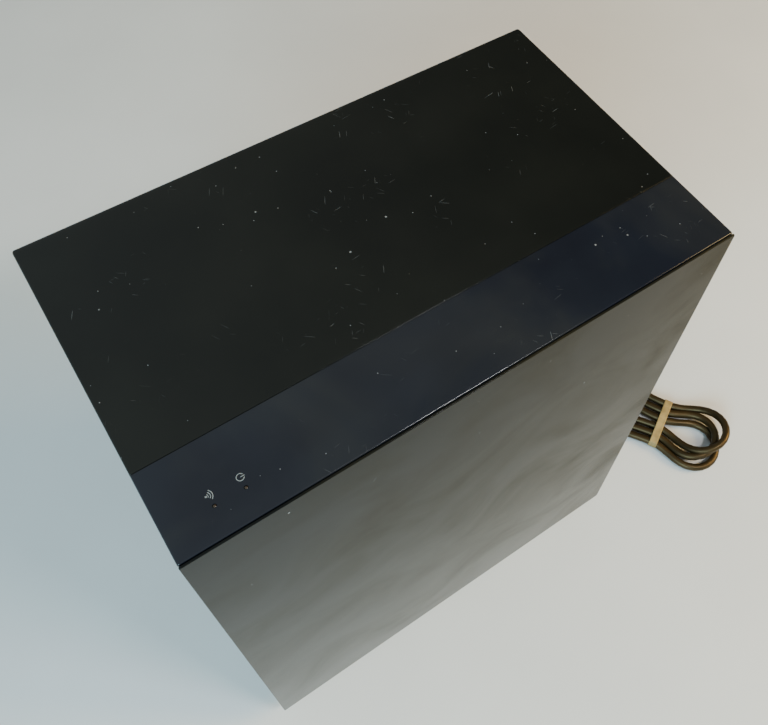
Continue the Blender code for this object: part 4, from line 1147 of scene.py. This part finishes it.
def make_plate():
    """The amplifier's rear plate: folded edge, holes for lead, button and screws, vent lines."""
    low, high = PLATE_LOW, PLATE_HIGH
    corner, edge = 4 * MM, 0.5 * MM

    def outline(inset, y):
        near = (low.x + inset, low.z + inset)
        far = (high.x - inset, high.z - inset)
        return [(a, y, b) for a, b in rounded_outline(near, far, corner - inset, 6)]

    section = [(0, low.y), (0, high.y - edge)]
    section += [(edge - a, high.y - edge + b) for a, b in arc((0, 0), edge, 20, 90, 3)]
    plate = lofted("amp_rear_plate", [outline(inset, y) for inset, y in section], "plate")
    along_y = (math.radians(90), 0, 0)
    middle = (low.y + high.y) / 2
    cut_round(plate, (LEAD_X, middle, LEAD_Z), LEAD_HOLE_RADIUS, CUT_DEPTH, along_y)
    button_x, _, button_z = centre_of(BUTTON_LOW, BUTTON_HIGH)
    cut_round(plate, (button_x, middle, button_z), BUTTON_HOLE_RADIUS, CUT_DEPTH, along_y)
    for number in range(1, 5):
        x, _, z = centre_of(*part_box(f"plate_screw_{number}"))
        cut_round(plate, (x, middle, z), SCREW_HOLE_RADIUS, CUT_DEPTH, along_y, steps=24)
    slots, slot_pitch = 9, 6 * MM
    for i in range(slots):
        x = -slot_pitch * (slots - 1) / 2 + slot_pitch * i
        cut_away(
            plate,
            (x - 1 * MM, high.y - 0.7 * MM, low.z + 78 * MM),
            (x + 1 * MM, high.y + 1 * MM, low.z + 104 * MM),
        )
    smooth(plate.data)
    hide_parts("amp_plate")


def make_screw_mesh(name, head, shank, length):
    """A pan-head screw with a cross recess, head up, its seat at zero."""
    profile = [(0, -length), (0.5 * shank, -length + 0.4 * MM), (shank, -length + 2.5 * MM)]
    threads = 9
    pitch = (length - 3.5 * MM) / threads
    for i in range(threads):
        z = -length + 2.5 * MM + pitch * i
        profile += [(0.78 * shank, z + 0.25 * pitch), (shank, z + 0.7 * pitch)]
    profile += [(0.8 * shank, 0), (head - 0.15 * MM, 0), (head, 0.25 * MM), (head, 0.7 * MM)]
    for across, up in quarter_round(1, 7, first=1)[:-1]:
        profile.append((head * across, 0.7 * MM + 1.1 * MM * up))
    profile.append((0, SCREW_HEAD_HEIGHT))
    screw = turned(name, profile, "steel", steps=40, body=None)
    for turn in (0, 90):
        bm = bmesh.new()
        bmesh.ops.create_cube(bm, size=1)
        bmesh.ops.scale(bm, vec=(1.15 * head, 0.7 * MM, 1.8 * MM), verts=bm.verts)
        bmesh.ops.translate(bm, vec=(0, 0, 1.6 * MM), verts=bm.verts)
        rotation = (0, 0, math.radians(turn))
        carve(screw, add_mesh("cutter", bm, "steel", body=None, rotation=rotation))
    mesh = screw.data
    smooth(mesh, 30)
    bpy.data.objects.remove(screw)
    return mesh


def make_screws():
    for group, facing, head, shank, length in (
        ("plate_screw", 1, 3.4 * MM, 1.7 * MM, 12 * MM),
        ("woofer_screw", -1, 3.2 * MM, 1.6 * MM, 13 * MM),
    ):
        mesh = make_screw_mesh(group, head, shank, length)
        for number in range(1, 5):
            low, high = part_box(f"{group}_{number}")
            seat = high.y - SCREW_HEAD_HEIGHT if facing > 0 else low.y + SCREW_HEAD_HEIGHT
            x, _, z = centre_of(low, high)
            obj = bpy.data.objects.new(f"{group}_{number}_fine", mesh)
            obj.location = (x, seat, z)
            turn = Euler((math.radians(-90 * facing), 0, 0)).to_matrix()
            own = Euler((0, 0, math.radians(SCREW_TURN * number))).to_matrix()
            obj.rotation_euler = (turn @ own).to_euler()
            bpy.context.scene.collection.objects.link(obj)
            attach(obj, BODY)
            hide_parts(f"{group}_{number}")


def make_button():
    radius = BUTTON_RADIUS
    length = BUTTON_HIGH.y - BUTTON_LOW.y
    x, _, z = centre_of(BUTTON_LOW, BUTTON_HIGH)
    profile = [
        (0, 0),
        (0.7 * radius, 0),
        (0.7 * radius, 1.4 * MM),
        (1.5 * radius, 1.4 * MM),
        (1.5 * radius, 2.9 * MM),
        (radius, 2.9 * MM),
        (radius, length - 0.5 * MM),
    ]
    profile += arc((radius - 0.5 * MM, length - 0.5 * MM), 0.5 * MM, 15, 90, 5)
    profile += [
        (1.9 * MM, length - 0.05 * MM),
        (1.0 * MM, length - 0.3 * MM),
        (0, length - 0.36 * MM),
    ]
    button = turned(
        "pairing_button_cap",
        profile,
        "plastic",
        steps=48,
        body=BUTTON_BODY,
        location=(x, BUTTON_LOW.y, z),
        rotation=(math.radians(-90), 0, 0),
    )
    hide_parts("pairing_button")


# ---------------------------------------------------------------- woofer suspension
SECTORS = 12
SECTOR_STEPS = 8


def suspension(node, line, thickness, material):
    """A ring of sectors turned from a profile line about the basket's axis, meeting the frame at
    its outer radius and the cone at its inner radius.
    """
    front_y = BASKET_LOW.y
    centre_z = (BASKET_LOW.z + BASKET_HIGH.z) / 2
    half = thickness / 2
    profile = [(r, d - half) for r, d in line] + [(r, d + half) for r, d in reversed(line)]
    for sector in range(SECTORS):
        start = 2 * math.pi * sector / SECTORS
        rings = []
        for i in range(SECTOR_STEPS + 1):
            angle = start + 2 * math.pi / SECTORS * i / SECTOR_STEPS
            c, s = math.cos(angle), math.sin(angle)
            ring = [(r * MM * c, front_y + d * MM, centre_z + r * MM * s) for r, d in profile]
            rings.append(ring)
        piece = lofted(f"{node}_sector_{sector + 1}", rings, material, body=None)
        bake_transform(piece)
        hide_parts(node)


def make_suspension():
    roll = [(57.5, 4.4)]
    for i in range(17):
        share = i / 16
        radius = 60.6 + (70.6 - 60.6) * share
        depth = 3.1 + (-0.7 - 3.1) * share - 5.5 * math.sin(math.pi * share)
        roll.append((radius, depth))
    roll.append((75, -0.7))
    suspension("woofer_surround", roll, 0.8, "rubber")
    # Flat pleats that deepen only outside the basket's opening, to clear its floor at full travel
    pleats = [(12.95, 33.5), (15.5, 33.5)]
    for i in range(33):
        radius = 17 + 22 * i / 32
        ripple = 0.7 * math.cos(math.pi * (radius - 15.1) / 2.9)
        pleats.append((radius, 33.4 + 0.2 * max(radius - 26, 0) + ripple))
    pleats += [(42, 36.6), (47, 36.6)]
    suspension("woofer_spider", pleats, 0.6, "cloth")


def dress_frame():
    """Every CAD node gets its slot's procedural material; the replaced ones are hidden where their
    replacements are made.
    """
    slots = {s["node"]: s["material_slot"] for s in frame["record"]["subparts"]}
    for name, obj in frame["nodes"].items():
        obj.data.materials.clear()
        obj.data.materials.append(MATERIALS[slots[name]])


MATERIALS.update(make_materials())
make_camera()
make_stage()
dress_frame()
cord = make_cord()
tape = make_tape()
plug_pieces = make_plug()
relief = make_strain_relief()
make_cabinet()
make_cover()
make_panel()
make_marks()
make_lenses()
make_feet()
make_grille()
make_port()
make_plate()
make_screws()
make_button()
make_suspension()
